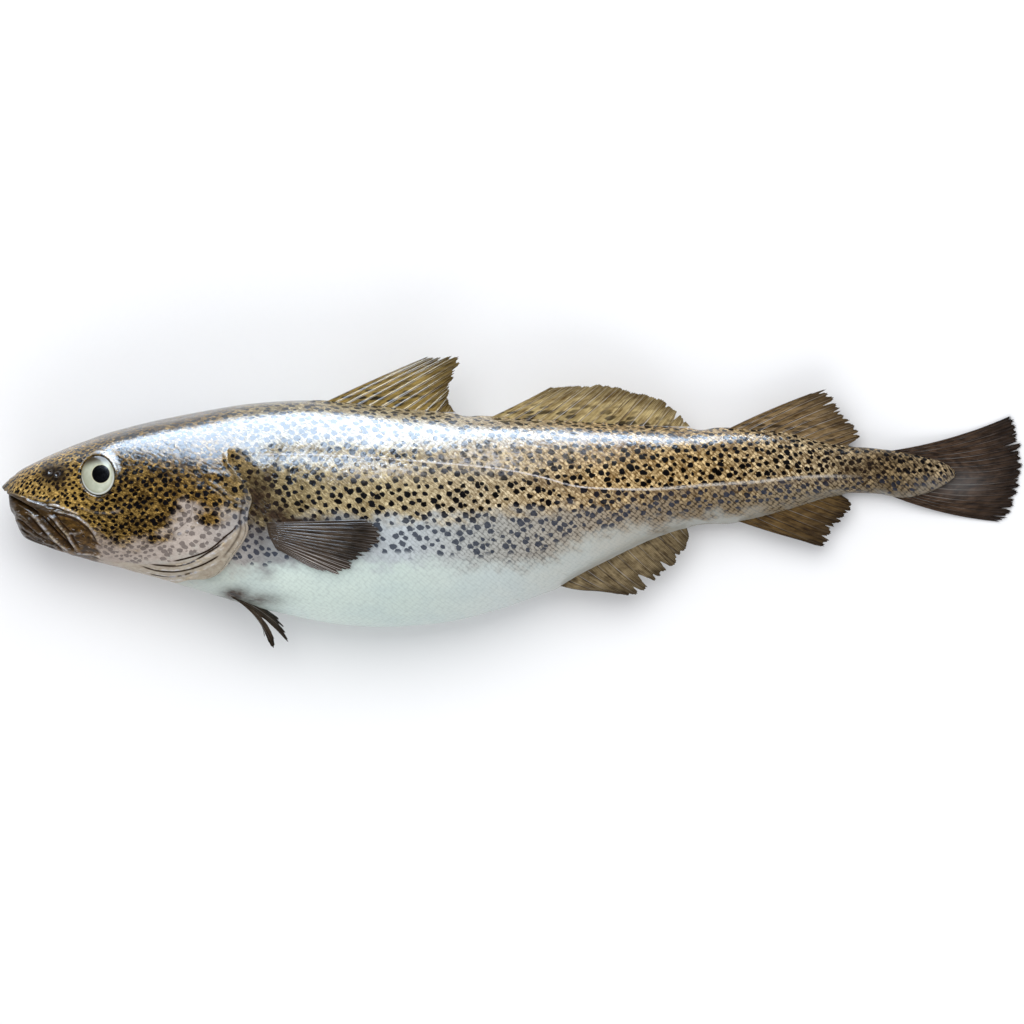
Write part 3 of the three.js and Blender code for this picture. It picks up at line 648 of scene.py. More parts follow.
mm_per_degree = np.abs(np.gradient(net_girth, axis=1) / np.gradient(net_angle, axis=1)).clip(0.05, 3)
for start, end, middle in FIN_BASES:
    away = np.abs(np.abs(net_angle) - middle) * mm_per_degree
    stretch = smoothstep(net_s, start - BASE_BEFORE, start + BASE_RISE)
    stretch = stretch * smoothstep(net_s, end + BASE_AFTER, end)
    fin_base = np.maximum(fin_base, stretch * bell(away, BASE_WIDTH))
relief += BASE_HEIGHT * fin_base

# %% Soft unevenness of flesh, and the wrinkles of the jaw
UNEVEN_CELLS = 160
UNEVEN_SHIFT = (40, 80)  # keeps cell numbers above zero
SOFT_BUMPS = [(0.42, 26, 1), (0.14, 9, 2)]  # height and width in mm, and seed
SKIN_BUMPS = (0.05, 3.2, 3)
WRINKLES = (0.3, 1.9, 4)
WRINKLED_HEAD, WRINKLED_FLANK = (62, 30), (0, -8)  # where wrinkles come in, from the eye down and forward


def uneven(s, girth, cell, seed):
    """Smooth random heights, about -1 to 1, with bumps a cell wide."""
    heights = np.random.default_rng(seed).uniform(-1, 1, (UNEVEN_CELLS, UNEVEN_CELLS))
    u, v = s / cell + UNEVEN_SHIFT[0], girth / cell + UNEVEN_SHIFT[1]
    i, j = np.floor(u).astype(int), np.floor(v).astype(int)
    a, b = smoothstep(u - i, 0, 1), smoothstep(v - j, 0, 1)
    i, j = i % (UNEVEN_CELLS - 1), j % (UNEVEN_CELLS - 1)
    near = heights[i, j] * (1 - b) + heights[i, j + 1] * b
    far = heights[i + 1, j] * (1 - b) + heights[i + 1, j + 1] * b
    return near * (1 - a) + far * a


twin_y = twin[..., 1]
soft = smoothstep(net_s, 0, 40) * smoothstep(net_s, BODY_LENGTH, BODY_LENGTH - 21)
relief += soft * sum(height * uneven(net_s, net_girth, *rest) for height, *rest in SOFT_BUMPS)
relief += SKIN_BUMPS[0] * uneven(net_s, net_girth, *SKIN_BUMPS[1:])
wrinkled = smoothstep(net_s, *WRINKLED_HEAD) * smoothstep(twin_y, *WRINKLED_FLANK)
over_folds = net_s * 0.6 + twin_y * 0.8
along_folds = twin_y * 0.2 - net_s * 0.3
relief += wrinkled * WRINKLES[0] * uneven(over_folds, along_folds, *WRINKLES[1:])

# %% Raise the net and press it flat on the table
FLAT_SOFTNESS = 1.1
FLAT_SINK = 0.02
shaped = net + grid_normals(net) * (relief + lip_height)[..., None]
above_table = shaped[..., 2]
shaped[..., 2] = 0.5 * (above_table + np.sqrt(above_table ** 2 + FLAT_SOFTNESS ** 2)) - FLAT_SINK
shaped_normal = grid_normals(shaped)
print("skin from", shaped.min((0, 1)).round(1), "to", shaped.max((0, 1)).round(1))

# %% [markdown]
# ## Where the colours change
#
# The finish is painted by nodes, but nodes can't know where the jaw ends or how far it is down to the
# belly. So each point of the skin carries a few numbers: its place in mm, a stretched copy of that place
# which makes spots small on the snout and large on the flank, its height over the lines where tan turns
# grey and where the spots stop, how much it belongs to the jaw or the gill's thin skin, and how strong
# the painted shade of a crease, the painted highlight, and the painted shadows and dark patches are there.

# %% Zones of the skin
HEAD_TAN = np.array([
    [0, -14], [35, -17], [60, -22], [84, -24], [98, -17], [110, -9], [124, -7], [140, -3], [152, 1],
], float)
TRUNK_TAN = np.array([
    [100, -12], [150, -14], [165, -13], [200, -9.5], [242, -9.5], [290, -8], [320, -4.5], [350, -2], [400, 3],
    [440, 7.5], [486, 11.5], [525, 12], [560, 14], [581, 17],
], float)
HEAD_SPOTS = np.array([[0, -44], [60, -38], [90, -37], [120, -30], [135, -25], [150, -18]], float)
TRUNK_SPOTS = np.array([
    [100, -38], [165, -36], [185, -31], [242, -33], [303, -34], [330, -31], [354, -18], [387, -10.5],
    [440, -4], [480, 1.5], [510, 7.5], [560, 8], [581, 13],
])
SPOT_PITCH = np.array([
    [0, 2.6], [30, 3.0], [60, 3.9], [100, 4.5], [150, 5.2], [200, 5.7], [300, 5.8], [400, 5.3], [500, 4.7],
    [581, 4.2],
])
SPOT_LEAN = math.radians(38)  # spots line up with the slanting rows of scales
SPOT_FLATNESS = 1.12
JAW_TOP = [
    (-3, 7.4), (4.7, 6.2), (10.8, 4.4), (18.4, 2.2), (24, 0.4), (29, -1.1), (33.6, -2.6), (38.6, -4.6),
    (43.4, -6.8), (47, -9.4), (50.8, -12.5), (53.8, -15.2), (57, -19.4), (60.4, -26), (61, -33), (60, -39),
]
FILM_TOP = [
    (154, -8), (147, -13), (141.4, -17.6), (132.3, -25.4), (126.7, -29.5), (116, -33.5), (102, -36.5),
    (88, -37.6), (70, -36), (62, -35),
]
HEAD_PATCHES = [  # place, reach along and across, how far tan gives way to grey (-) or reaches down (+)
    (112, 1, 6, 8, -12),
    (120, -4, 6, 4, -6),
    (71, -5, 9, 3.5, -16),
    (127, -11, 8, 4, 14),
    (100, -23, 9, 3, 10),
]
# Painted sheen: patches of the upper flank lightened as the wet skin's highlight would light them.
PAINTED_SHEEN_PATCHES = [  # place, reach along and across, strength
    (298, 27, 30, 8, 0.5), (234, 19, 26, 4.5, 0.42), (352, 30, 24, 6, 0.2),
]
# Painted shadows behind the gill cover, round the pectoral fin's root and in the gap above it, and under the
# pelvic fin on the belly; the last two rows only darken a patch of the back and of the tail's root.
SHADOWS_AND_PATCHES = [  # place, reach along and across, strength
    (156, 1, 10, 16, 1.15),
    (160, 14, 6, 10, 0.7),
    (166, -7.5, 12, 5.0, 1.2),
    (176, -11.4, 19, 2.6, 1.2),
    (157, -18, 9, 11, 0.6),
    (142, -56.4, 9, 4.6, 1.3),
    (154, -59.4, 17, 4.4, 0.9),
    (196, 33, 5, 2, 0.5),
    (522, 21, 22, 7, 0.6),
]
NOSTRIL_STAIN = 1.15

is_head = np.zeros(net.shape[:2], bool)
is_head[:stops[0] + 1] = True


def patch(s, y, long, wide):
    """An oval patch on the flank: 1 in its middle, and nothing at its edge."""
    return bell(np.hypot((net_s - s) / long, (twin_y - y) / wide), 1.0)


above_tan = twin_y - np.where(is_head, smooth_at(HEAD_TAN, net_s), smooth_at(TRUNK_TAN, net_s))
above_last = twin_y - np.where(is_head, smooth_at(HEAD_SPOTS, net_s), smooth_at(TRUNK_SPOTS, net_s))
for s, y, long, wide, shift in HEAD_PATCHES:
    above_tan += is_head * shift * patch(s, y, long, wide)
shadow_and_patch = np.zeros(net.shape[:2])
for s, y, long, wide, strength in SHADOWS_AND_PATCHES:
    shadow_and_patch = np.maximum(shadow_and_patch, strength * patch(s, y, long, wide))
shadow_and_patch[:stops[0] + 1] = 0
shadow_and_patch = np.maximum(shadow_and_patch, NOSTRIL_STAIN * nostril_dark)

# %% Jaw, gill skin and the gill cover's edge
FILM_REACH, JAW_REACH = 60, 80
JAW_SOFTER = 2.2  # how much softer the jaw's border is at its corner than at the lips
EDGE_GLINT, EDGE_SHADE = 0.14, 0.4
jaw = np.zeros(net.shape[:2])
film = np.zeros(net.shape[:2])
d, side, _ = near_line(twin[head_part], JAW_TOP, JAW_REACH)
jaw_soft = 1 + JAW_SOFTER * smoothstep(net_s[head_part], 38, 56)
jaw[head_part] = smoothstep(side * d, 1.6 * jaw_soft, -2.4 * jaw_soft) * smoothstep(net_s[head_part], 72, 54)
d, side, _ = near_line(twin[head_part], FILM_TOP, FILM_REACH)
film[head_part] = smoothstep(side * d, -0.8, 2.2) * smoothstep(net_s[head_part], 55, 75) * (d < FILM_REACH)
film *= is_head
to_edge = edge_s - net_s
edge_strip = is_head * bell(to_edge - 1.6, 1.2) * smoothstep(twin_y, 24, 18) * smoothstep(twin_y, -36, -30)
pale_edge_and_highlight = np.maximum(pale_edge_and_highlight, EDGE_GLINT * edge_strip)
for s, y, long, wide, strength in PAINTED_SHEEN_PATCHES:
    pale_edge_and_highlight = np.maximum(pale_edge_and_highlight, strength * patch(s, y, long, wide))
edge_shade = is_head * bell(to_edge - 4.4, 1.0) * smoothstep(twin_y, 8, 2) * smoothstep(twin_y, -36, -30)
crease_shade = np.maximum(crease_shade, EDGE_SHADE * edge_shade)

# %% The numbers that the skin carries
pitch_s = smooth_at(SPOT_PITCH, every_s)
walked = np.cumsum(np.gradient(every_s) / pitch_s)
spot_u = np.interp(net_s, every_s, walked)
spot_v = net_girth / smooth_at(SPOT_PITCH, net_s) * SPOT_FLATNESS
lean_cos, lean_sin = math.cos(SPOT_LEAN), math.sin(SPOT_LEAN)
leaned = [spot_u * lean_cos - spot_v * lean_sin, spot_u * lean_sin + spot_v * lean_cos]
skin_attributes = {
    "place": np.stack([net_s, net_girth, twin_y], -1),
    "spot_map": np.stack([*leaned, 0 * spot_u], -1),
    "levels": np.stack([above_tan, above_last, line_distance], -1),
    "marks": np.stack([jaw, crease_shade, film], -1),
    "touches": np.stack([pale_edge_and_highlight, shadow_and_patch, nostril_dark], -1),
    "areas": np.stack([line_shown, smoothstep(net_s, 150, 128) * is_head, 0 * net_s], -1),
}
print({name: values.shape for name, values in skin_attributes.items()})

# %% [markdown]
# ## From net to mesh
#
# A net becomes a mesh of quads, or a closed ring of quads for a tube. build takes millimetres, carries
# the numbers above along as attributes, and lays the net out as its own flat map, which is the neatest
# map a tube can have. Where two pieces share a border, both take their normals from the whole net, so
# no seam shows.

# %% Mesh helpers
def build(name, points, quads, corners, normals=None, attributes=None, triangles=()):
    """A mesh piece of the cod from points in mm; corners are the map's coordinates of each quad corner."""
    mesh = bpy.data.meshes.new(name)
    triangles = np.array(triangles, int).reshape(-1, 3)
    flat = np.r_[quads.ravel(), triangles.ravel()]
    sizes = np.r_[np.full(len(quads), 4), np.full(len(triangles), 3)]
    mesh.vertices.add(len(points))
    mesh.vertices.foreach_set("co", ((points + (snout_x / MM, 0, 0)) * MM).ravel())
    mesh.loops.add(len(flat))
    mesh.loops.foreach_set("vertex_index", flat)
    mesh.polygons.add(len(sizes))
    mesh.polygons.foreach_set("loop_start", np.r_[0, np.cumsum(sizes)[:-1]])
    mesh.polygons.foreach_set("loop_total", sizes)
    mesh.update(calc_edges=True)
    mesh.polygons.foreach_set("use_smooth", np.ones(len(sizes), bool))
    flat_map = mesh.uv_layers.new(name="OFBake")
    uv = np.zeros((len(flat), 2))
    uv[:quads.size] = corners.reshape(-1, 2)
    if len(triangles):
        uv[quads.size:] = 0.5
    flat_map.data.foreach_set("uv", uv.ravel())
    for key, values in (attributes or {}).items():
        vector = values.ndim > 1 and values.shape[-1] == 3
        layer = mesh.attributes.new(key, "FLOAT_VECTOR" if vector else "FLOAT", "POINT")
        layer.data.foreach_set("vector" if vector else "value", values.astype(np.float32).ravel())
    if normals is not None:
        mesh.normals_split_custom_set_from_vertices(normals.astype(np.float32))
    piece = bpy.data.objects.new(name, mesh)
    bpy.context.collection.objects.link(piece)
    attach(piece, "root")
    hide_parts("cod")
    return piece


def ring_quads(row_count, ring):
    """Quads and map corners of rows of closed rings."""
    i, j = np.meshgrid(np.arange(row_count - 1), np.arange(ring), indexing="ij")
    i, j = i.ravel(), j.ravel()
    corner_i = np.stack([i, i + 1, i + 1, i], -1)
    corner_j = np.stack([j, j, j + 1, j + 1], -1)
    quads = corner_i * ring + corner_j % ring
    return quads, np.stack([corner_i / (row_count - 1), corner_j / ring], -1)


def end_fan(row, ring, pole, forward):
    """Triangles that close a ring at a row with one pole point."""
    j = np.arange(ring)
    a, b = row * ring + j, row * ring + (j + 1) % ring
    return np.stack([a, b, np.full(ring, pole)] if forward else [b, a, np.full(ring, pole)], -1)


# %% The skin pieces
POLE_OUT = 0.7  # mm that the point closing an end stands out beyond its ring


def skin_piece(name, first, last, pole=None):
    """The rows first to last of the net as a piece, closed by a pole at the snout or the tail's end."""
    part = slice(first, last + 1)
    points = shaped[part].reshape(-1, 3)
    normals = shaped_normal[part].reshape(-1, 3)
    attributes = {key: values[part].reshape(-1, 3) for key, values in skin_attributes.items()}
    count = last - first + 1
    quads, corners = ring_quads(count, COLUMNS)
    triangles = ()
    if pole is not None:
        row = 0 if pole == "snout" else count - 1
        ring = slice(row * COLUMNS, (row + 1) * COLUMNS)
        way = np.array([-1.0 if pole == "snout" else 1.0, 0, 0])
        points = np.vstack([points, points[ring].mean(0) + way * POLE_OUT])
        normals = np.vstack([normals, way])
        attributes = {k: np.vstack([v, v[ring].mean(0)]) for k, v in attributes.items()}
        triangles = end_fan(row, COLUMNS, len(points) - 1, pole != "snout")
    piece = build(name, points, quads, corners, normals, attributes, triangles)
    print(name, len(quads), "quads")
    return piece


skin_pieces = [
    skin_piece("head", 0, stops[0], "snout"),
    skin_piece("shoulder", stops[0], stops[1]),
    skin_piece("flank", stops[1], stops[2]),
    skin_piece("tail_root", stops[2], stops[3], "tail"),
]

# %% [markdown]
# ## Fins
#
# A cod's fin is a row of soft rays with a thin web between them, and what makes it look real is that
# nothing about it is straight: rays bow and branch into finer and finer threads, the web stops short of
# the ray tips, and the edge is torn. A flat card with a picture of rays would do from afar. Here each fin
# is a thin closed plate on a fine net: every ray and branch is a raised rib, and the tips are ragged and
# torn, so the outline is as broken as the real one. Each point also carries which ray it is nearest, for
# the paint.

# %% Fin plates
RAY_COLUMNS = 12
WEB = {"root": 1.0, "tip": 0.13}  # half of the web's thickness in mm
RIB = {"root": 0.5, "tip": 0.2}  # how far a ray stands out of the web, in mm
RAY_SPREAD, RAY_LIMITS = 0.016, (-0.03, 0.04)  # how unequal the rays are, as shares of their length
GAP_SHARES = (0.4, 1.5)  # least and greatest cut of the web between two rays, in notches
FRAY, SAW = 0.008, 0.011  # random and regular part of the worn edge
WAVES = (3, 5, 8)  # half waves of the web's ripple across a fin
FLOOR_GAP = 0.12  # mm that a fin stays above the table
FIRST_FORK, SECOND_FORK = (0.3, 0.2), (0.6, 0.085)  # where along a ray it forks, and how far it spreads
RAY_WIDTH, RAY_TAPER = 0.16, 0.08  # a ray's width at its root and its loss towards the tip, in spacings


def branch_ribs(local, along):
    """Height, 0 to 1, of a ray and its branches; local is the place between two rays, -0.5 to 0.5."""
    first = FIRST_FORK[1] * smoothstep(along, FIRST_FORK[0], 1.0)
    second = SECOND_FORK[1] * smoothstep(along, SECOND_FORK[0], 1.0)
    width = RAY_WIDTH - RAY_TAPER * smoothstep(along, 0.2, 0.8)
    height = np.zeros(np.broadcast(local, along).shape)
    for a in (-1, 1):
        for b in (-1, 1):
            away = local - a * first - b * second
            height = np.maximum(height, bell(away, width))
    return height


def worn_reach(random, rays, across, phase, notch, tears):
    """How far each column reaches, as a share: unequal rays, a cut web, a worn edge and tears."""
    nearest = np.rint(phase).astype(int)
    local = phase - nearest
    length = random.normal(0, RAY_SPREAD, rays)[nearest]
    gap = random.uniform(*GAP_SHARES, rays)[np.minimum(phase.astype(int), rays - 1)]
    reach = 1 - length.clip(*RAY_LIMITS) - notch * gap * (2 * np.abs(local)) ** 1.6
    reach += SAW * np.cos(local * 8 * np.pi) - FRAY * random.uniform(0, 1, len(across))
    for place, width, depth in tears:
        reach -= depth * np.clip(1 - np.abs(across - place) / width, 0, 1) ** 0.7
    return reach


def closed_plate(upper, lower):
    """Points, quads and map corners of a plate between two sheets, closed along its root and tip."""
    rows, columns = upper.shape[:2]
    ring = 2 * columns
    points = np.concatenate([upper, lower[:, ::-1]], 1).reshape(-1, 3)
    quads, corners = ring_quads(rows, ring)
    j = np.arange(columns - 1)
    root_cap = np.stack([j, j + 1, ring - 2 - j, ring - 1 - j], -1)
    tip_cap = (root_cap + (rows - 1) * ring)[:, ::-1]
    quads = np.vstack([quads, root_cap, tip_cap])
    on_caps = np.full((2 * len(j), 4, 2), 0.5)
    corners = np.concatenate([corners.reshape(-1, 4, 2), on_caps])
    a, b, c = points[quads[:, 0]], points[quads[:, 1]], points[quads[:, 2]]
    if np.einsum("ij,ij->i", np.cross(a, b), c).sum() < 0:
        quads, corners = quads[:, ::-1], corners[:, ::-1]
    return points, quads, corners


def both_sheets(values):
    """A sheet's values for the plate's upper and lower side."""
    return np.concatenate([values, values[:, ::-1]], 1)


def fin_piece(
    name, centre, rays, rows=46, sink=4.5, tears=(), notch=0.05, seed=1, pale=None, ripple=0.5, relief=1.0,
):
    """A fin as a closed plate; centre(across, along) gives the middle of the plate in mm."""
    random = np.random.default_rng(seed)
    columns = (rays - 1) * RAY_COLUMNS + 1
    across = np.linspace(0, 1, columns)
    phase = across * (rays - 1)
    local = phase - np.rint(phase).astype(int)
    reach = worn_reach(random, rays, across, phase, notch, tears)
    along = np.linspace(0, 1, rows)[:, None] ** 0.92 * reach[None, :]
    middle = centre(np.broadcast_to(across, along.shape), along)
    from_root = np.r_[np.zeros((1, columns)), np.cumsum(np.linalg.norm(np.diff(middle, axis=0), axis=2), 0)]
    spacing = np.linalg.norm(np.gradient(middle, axis=1), axis=2) * RAY_COLUMNS
    ribs = branch_ribs(local[None, :], along) * smoothstep(spacing, 0.7, 2.4) * relief
    wave = sum(
        random.uniform(-1, 1) * np.sin(np.pi * (k * across[None, :] + random.uniform(0, 2)) + 2.0 * along)
        for k in WAVES
    )
    middle[..., 2] += ripple * along ** 1.3 * wave * smoothstep(middle[..., 2], 0.5, 6)
    web = WEB["tip"] + (WEB["root"] - WEB["tip"]) * (1 - along).clip(0, 1) ** 2.2
    outer = smoothstep(np.minimum(phase, rays - 1 - phase), 0.5, 0)[None, :]
    half = web + ribs * (RIB["tip"] + (RIB["root"] - RIB["tip"]) * (1 - along)) * (1 + 0.5 * outer)
    upper, lower = middle.copy(), middle.copy()
    upper[..., 2] += half
    lower[..., 2] -= half
    too_low = np.minimum(lower[..., 2], FLOOR_GAP) - FLOOR_GAP
    upper[..., 2] -= too_low
    lower[..., 2] -= too_low
    points, quads, corners = closed_plate(upper, lower)
    phases = np.broadcast_to(phase, along.shape)
    shade = np.zeros(along.shape) if pale is None else pale(across[None, :], along)
    sheets = {
        "fin_place": [phases, along, spacing],
        "fin_depth": [from_root - sink, shade, 0 * along],
    }
    attributes = {key: both_sheets(np.stack(three, -1)).reshape(-1, 3) for key, three in sheets.items()}
    piece = build(name, points, quads, corners, attributes=attributes)
    print(name, len(quads), "quads,", rays, "rays")
    return piece


def fin_plane(roots, tips, across, along, bow=0.0):
    """Between a fin's root line and its tip line, with rays that bow; seen from above, in mm."""
    root = spline(roots, across.ravel()).reshape(*across.shape, 2)
    tip = spline(tips, across.ravel()).reshape(*across.shape, 2)
    ray = tip - root
    ray /= np.maximum(np.linalg.norm(ray, axis=-1, keepdims=True), 1e-6)
    bulge = np.asarray(bow * 4 * along * (1 - along))[..., None]
    turned = np.stack([-ray[..., 1], ray[..., 0]], -1)
    return root + (tip - root) * along[..., None] + turned * bulge


# %% Fins of the back and belly
FIN_SINK = 4.5
FIN_REST = 1.1
DROOP_HEIGHT = 30.0
MEDIAN_FINS = {
    "first_dorsal": dict(
        start=189, end=275, edge=1, rays=13, bow=0.6, droop=5, rows=56, seed=11,
        tips=[(259, 88.8), (270, 88.9), (278.6, 87.4), (275, 76), (271.8, 67.5), (273, 59.5), (276.5, 54.5)],
        tears=[(0.5, 0.012, 0.06), (0.66, 0.012, 0.08)],
    ),
    "second_dorsal": dict(
        start=289, end=418, edge=1, rays=17, bow=-0.4, droop=5, rows=44, seed=12,
        tips=[
            (334, 70.2), (350, 71.4), (366, 71.2), (383, 67.8), (397, 64.3), (409, 57), (416, 50.5),
            (419.5, 46),
        ],
        tears=[(0.79, 0.010, 0.08), (0.88, 0.014, 0.3), (0.94, 0.01, 0.14)], notch=0.015,
    ),
    "third_dorsal": dict(
        start=433, end=513, edge=1, rays=13, bow=1.2, droop=3, rows=48, seed=13,
        tips=[(496, 67.6), (502.5, 68.2), (507, 64), (511.5, 57.6), (517.5, 49), (523.5, 41), (516, 35.4)],
        tears=[(0.3, 0.014, 0.1), (0.42, 0.012, 0.12), (0.6, 0.012, 0.1), (0.78, 0.012, 0.1)],
    ),
    "first_anal": dict(
        start=334, end=416, edge=-1, rays=14, bow=1.6, droop=2, rows=46, seed=14,
        tips=[(362, -54), (384.5, -56.4), (396, -51), (404, -42.5), (413, -34), (418.5, -22), (417.5, -16.5)],
        tears=[
            (0.36, 0.012, 0.12), (0.46, 0.034, 0.34), (0.53, 0.016, 0.14), (0.64, 0.018, 0.2),
            (0.76, 0.014, 0.12),
        ],
    ),
    "second_anal": dict(
        start=439, end=509, edge=-1, rays=12, bow=0.8, droop=2, rows=42, seed=15,
        tips=[(493, -24.8), (501, -27.2), (505, -19.8), (509, -13.2), (516, -6.6), (518.5, -0.6), (512, 4.2)],
        tears=[(0.3, 0.016, 0.1), (0.44, 0.014, 0.12), (0.58, 0.014, 0.1), (0.72, 0.014, 0.1)],
    ),
}


def median_centre(start, end, edge, bow, droop, tips):
    """The middle surface of a fin that stands in the fish's middle plane."""
    middle_line = 0 if edge > 0 else 180
    root_s = np.linspace(start, end, 5)
    roots = skin_point(root_s, middle_line, FIN_SINK)[:, :2]

    def centre(across, along):
        root = skin_point(start + (end - start) * across, middle_line, FIN_SINK)
        place = fin_plane(roots, tips, across, along, edge * bow * (1 - across))
        height = np.abs(place[..., 1] - root[..., 1])
        lean = np.tan(np.radians(smooth_at(ROLL, root[..., 0])))
        sag = droop * along ** 2 * np.minimum(1, height / DROOP_HEIGHT)
        z = np.maximum(root[..., 2] + edge * height * lean - sag, FIN_REST)
        return np.concatenate([place, z[..., None]], -1)

    return centre


fins = {}
for name, fin in MEDIAN_FINS.items():
    centre = median_centre(**{key: fin[key] for key in ("start", "end", "edge", "bow", "droop", "tips")})
    options = {key: fin[key] for key in ("rays", "rows", "tears", "seed", "notch") if key in fin}
    fins[name] = fin_piece(name, centre, sink=FIN_SINK, **options)

# %% The tail fin
TAIL = {
    "roots": [(538, 31), (556, 27), (566, 18), (556, 7), (536, 6.5)],
    "tips": [
        (614, 52.4), (618.6, 50), (621, 40), (621.4, 28), (620.8, 17), (619, 5), (617, -3), (614, -9.2),
        (606, -11.6),
    ],
    "tears": [
        (0.17, 0.006, 0.05), (0.25, 0.007, 0.12), (0.31, 0.005, 0.07), (0.4, 0.005, 0.06),
        (0.47, 0.005, 0.05), (0.55, 0.005, 0.06), (0.63, 0.006, 0.06), (0.71, 0.006, 0.07),
        (0.8, 0.006, 0.08), (0.88, 0.007, 0.14),
    ],
    "bow": -2.8,
    "fall": (540, 606),
}


def tail_centre(across, along):
    place = fin_plane(TAIL["roots"], TAIL["tips"], across, along, TAIL["bow"] + 0 * across)
    start = smooth_at(RINGS, place[..., 0], MIDDLE)
    fallen = smoothstep(place[..., 0], *TAIL["fall"])
    z = start + (FIN_REST - start) * fallen
    return np.concatenate([place, z[..., None]], -1)


def worn(across, along):
    """How grey the tail fin is: a rubbed patch lies behind the end of the flesh."""
    return 0.5 * bell(across - 0.56, 0.13) * bell(along - 0.36, 0.26)


fins["tail_fin"] = fin_piece(
    "tail_fin", tail_centre, 19, 58, 6.0, TAIL["tears"],
    notch=0.03, seed=16, pale=worn, ripple=0.25, relief=0.45,
)

# %% [markdown]
# ## Paired fins
#
# The pectoral fin lies on the flank and lifts off it towards the tip, its lower rays fanned out and
# paler. The pelvic fin is a few long, almost free rays that hang past the belly line. The right side's
# two are swung back under the fish, between belly and table.

# %% The left pectoral and pelvic fins
PECTORAL = {
    "roots": [(161.5, -12.4), (163, -20), (167, -28)],
    "tips": [(224, -10.4), (229.5, -17), (227.5, -26), (217, -34.5), (205, -43.2), (189, -40)],
    "tears": [(0.42, 0.014, 0.06), (0.55, 0.014, 0.08), (0.8, 0.02, 0.08)],
    "lift": 3.6,
}
PELVIC = {
    "roots": [(137, -55.4), (139, -57), (141, -58.8)],
    "tips": [
        (168, -70.4), (171.8, -77), (173.4, -85), (168, -87.6), (164.4, -89.4), (161.5, -86), (159.5, -82),
    ],
    "tears": [(0.12, 0.03, 0.12), (0.25, 0.03, 0.12), (0.54, 0.09, 0.44), (0.86, 0.06, 0.34)],
    "drop": 16.0,
}


def pectoral_centre(across, along):
    place = fin_plane(PECTORAL["roots"], PECTORAL["tips"], across, along)
    lift = PECTORAL["lift"] * along ** 1.5 - FIN_REST + 0.9 * smoothstep(along, 0, 0.1)
    z = flank_point(place[..., 0], place[..., 1])[..., 2] + lift
    return np.concatenate([place, z[..., None]], -1)


def fanned(across, along):
    """How pale the pectoral fin is: its lower rays are spread and light."""
    upper_edge = 0.9 * smoothstep(across, 0.05, 0.0) * smoothstep(along, 0.45, 0.2)
    rim = 0.35 * smoothstep(along, 0.86, 0.98) * smoothstep(across, 0.5, 0.2)
    return np.maximum(np.maximum(smoothstep(across, 0.45, 0.75), upper_edge), rim)


pelvic_root = spline(PELVIC["roots"], np.array([0.5]))[0]
pelvic_start = flank_point(*pelvic_root)[2] - FIN_REST


def pelvic_centre(across, along):
    place = fin_plane(PELVIC["roots"], PELVIC["tips"], across, along, 2.0 + 2.5 * across)
    z = pelvic_start - PELVIC["drop"] * smoothstep(along, 0, 1)
    return np.concatenate([place, z[..., None]], -1)


fins["pectoral_fin"] = fin_piece(
    "pectoral_fin", pectoral_centre, 17, 52, 0.0, PECTORAL["tears"],
    notch=0.05, seed=17, pale=fanned, ripple=0.35, relief=0.7,
)
fins["pelvic_fin"] = fin_piece(
    "pelvic_fin", pelvic_centre, 8, 52, 0.0, PELVIC["tears"],
    notch=0.07, seed=18, ripple=0.4,
)

# %% The right pectoral and pelvic fins
LOWER_FINS = {
    "right_pectoral_fin": dict(
        rays=9, seed=19, roots=PECTORAL["roots"],
        tips=[(219, -34), (218, -44), (211, -52), (199, -57), (187, -57), (177, -53)],
    ),
    "right_pelvic_fin": dict(
        rays=6, seed=20, roots=[(140, -50), (142, -53), (145, -56)],
        tips=[(184, -56), (183, -60), (180, -63), (175, -64.5)],
    ),
}
LOWER_SINK = 2.5


def lower_centre(roots, tips):
    """A fin of the right side: it leaves the flank and comes down to the table."""
    def centre(across, along):
        place = fin_plane(roots, tips, across, along)
        root = fin_plane(roots, tips, across, 0 * along)
        start = flank_point(root[..., 0], root[..., 1], -1)[..., 2] + LOWER_SINK
        down = start + (FIN_REST - start) * np.sqrt(along)
        under_skin = flank_point(place[..., 0], place[..., 1], -1)[..., 2] + FIN_REST
        z = np.clip(down, FIN_REST, np.maximum(under_skin, FIN_REST))
        return np.concatenate([place, z[..., None]], -1)
    return centre


for name, fin in LOWER_FINS.items():
    centre = lower_centre(fin["roots"], fin["tips"])
    fins[name] = fin_piece(name, centre, fin["rays"], 30, 0.0, notch=0.06, seed=fin["seed"], ripple=0.0)

# %% [markdown]
# ## Eyes and barbel
#
# The eye is a shallow dome in its pit: a wide pale iris, a black pupil a little nearer the tail, and a
# wet clear skin over both. It could be three shells, glass over iris over black. One dome with a clear
# coat looks the same in soft light and can't show a gap, so that is what is made here. The chin's one
# barbel, a soft feeler, is a tapered tube folded back along the jaw.

# %% The eyes
EYE_RINGS, EYE_SIDES = 34, 96
INNER_RING = 0.02  # size of the ring next to the dome's middle, as a share of the eye
DOME = {"sunk": 1.3, "bulge": 3.0}


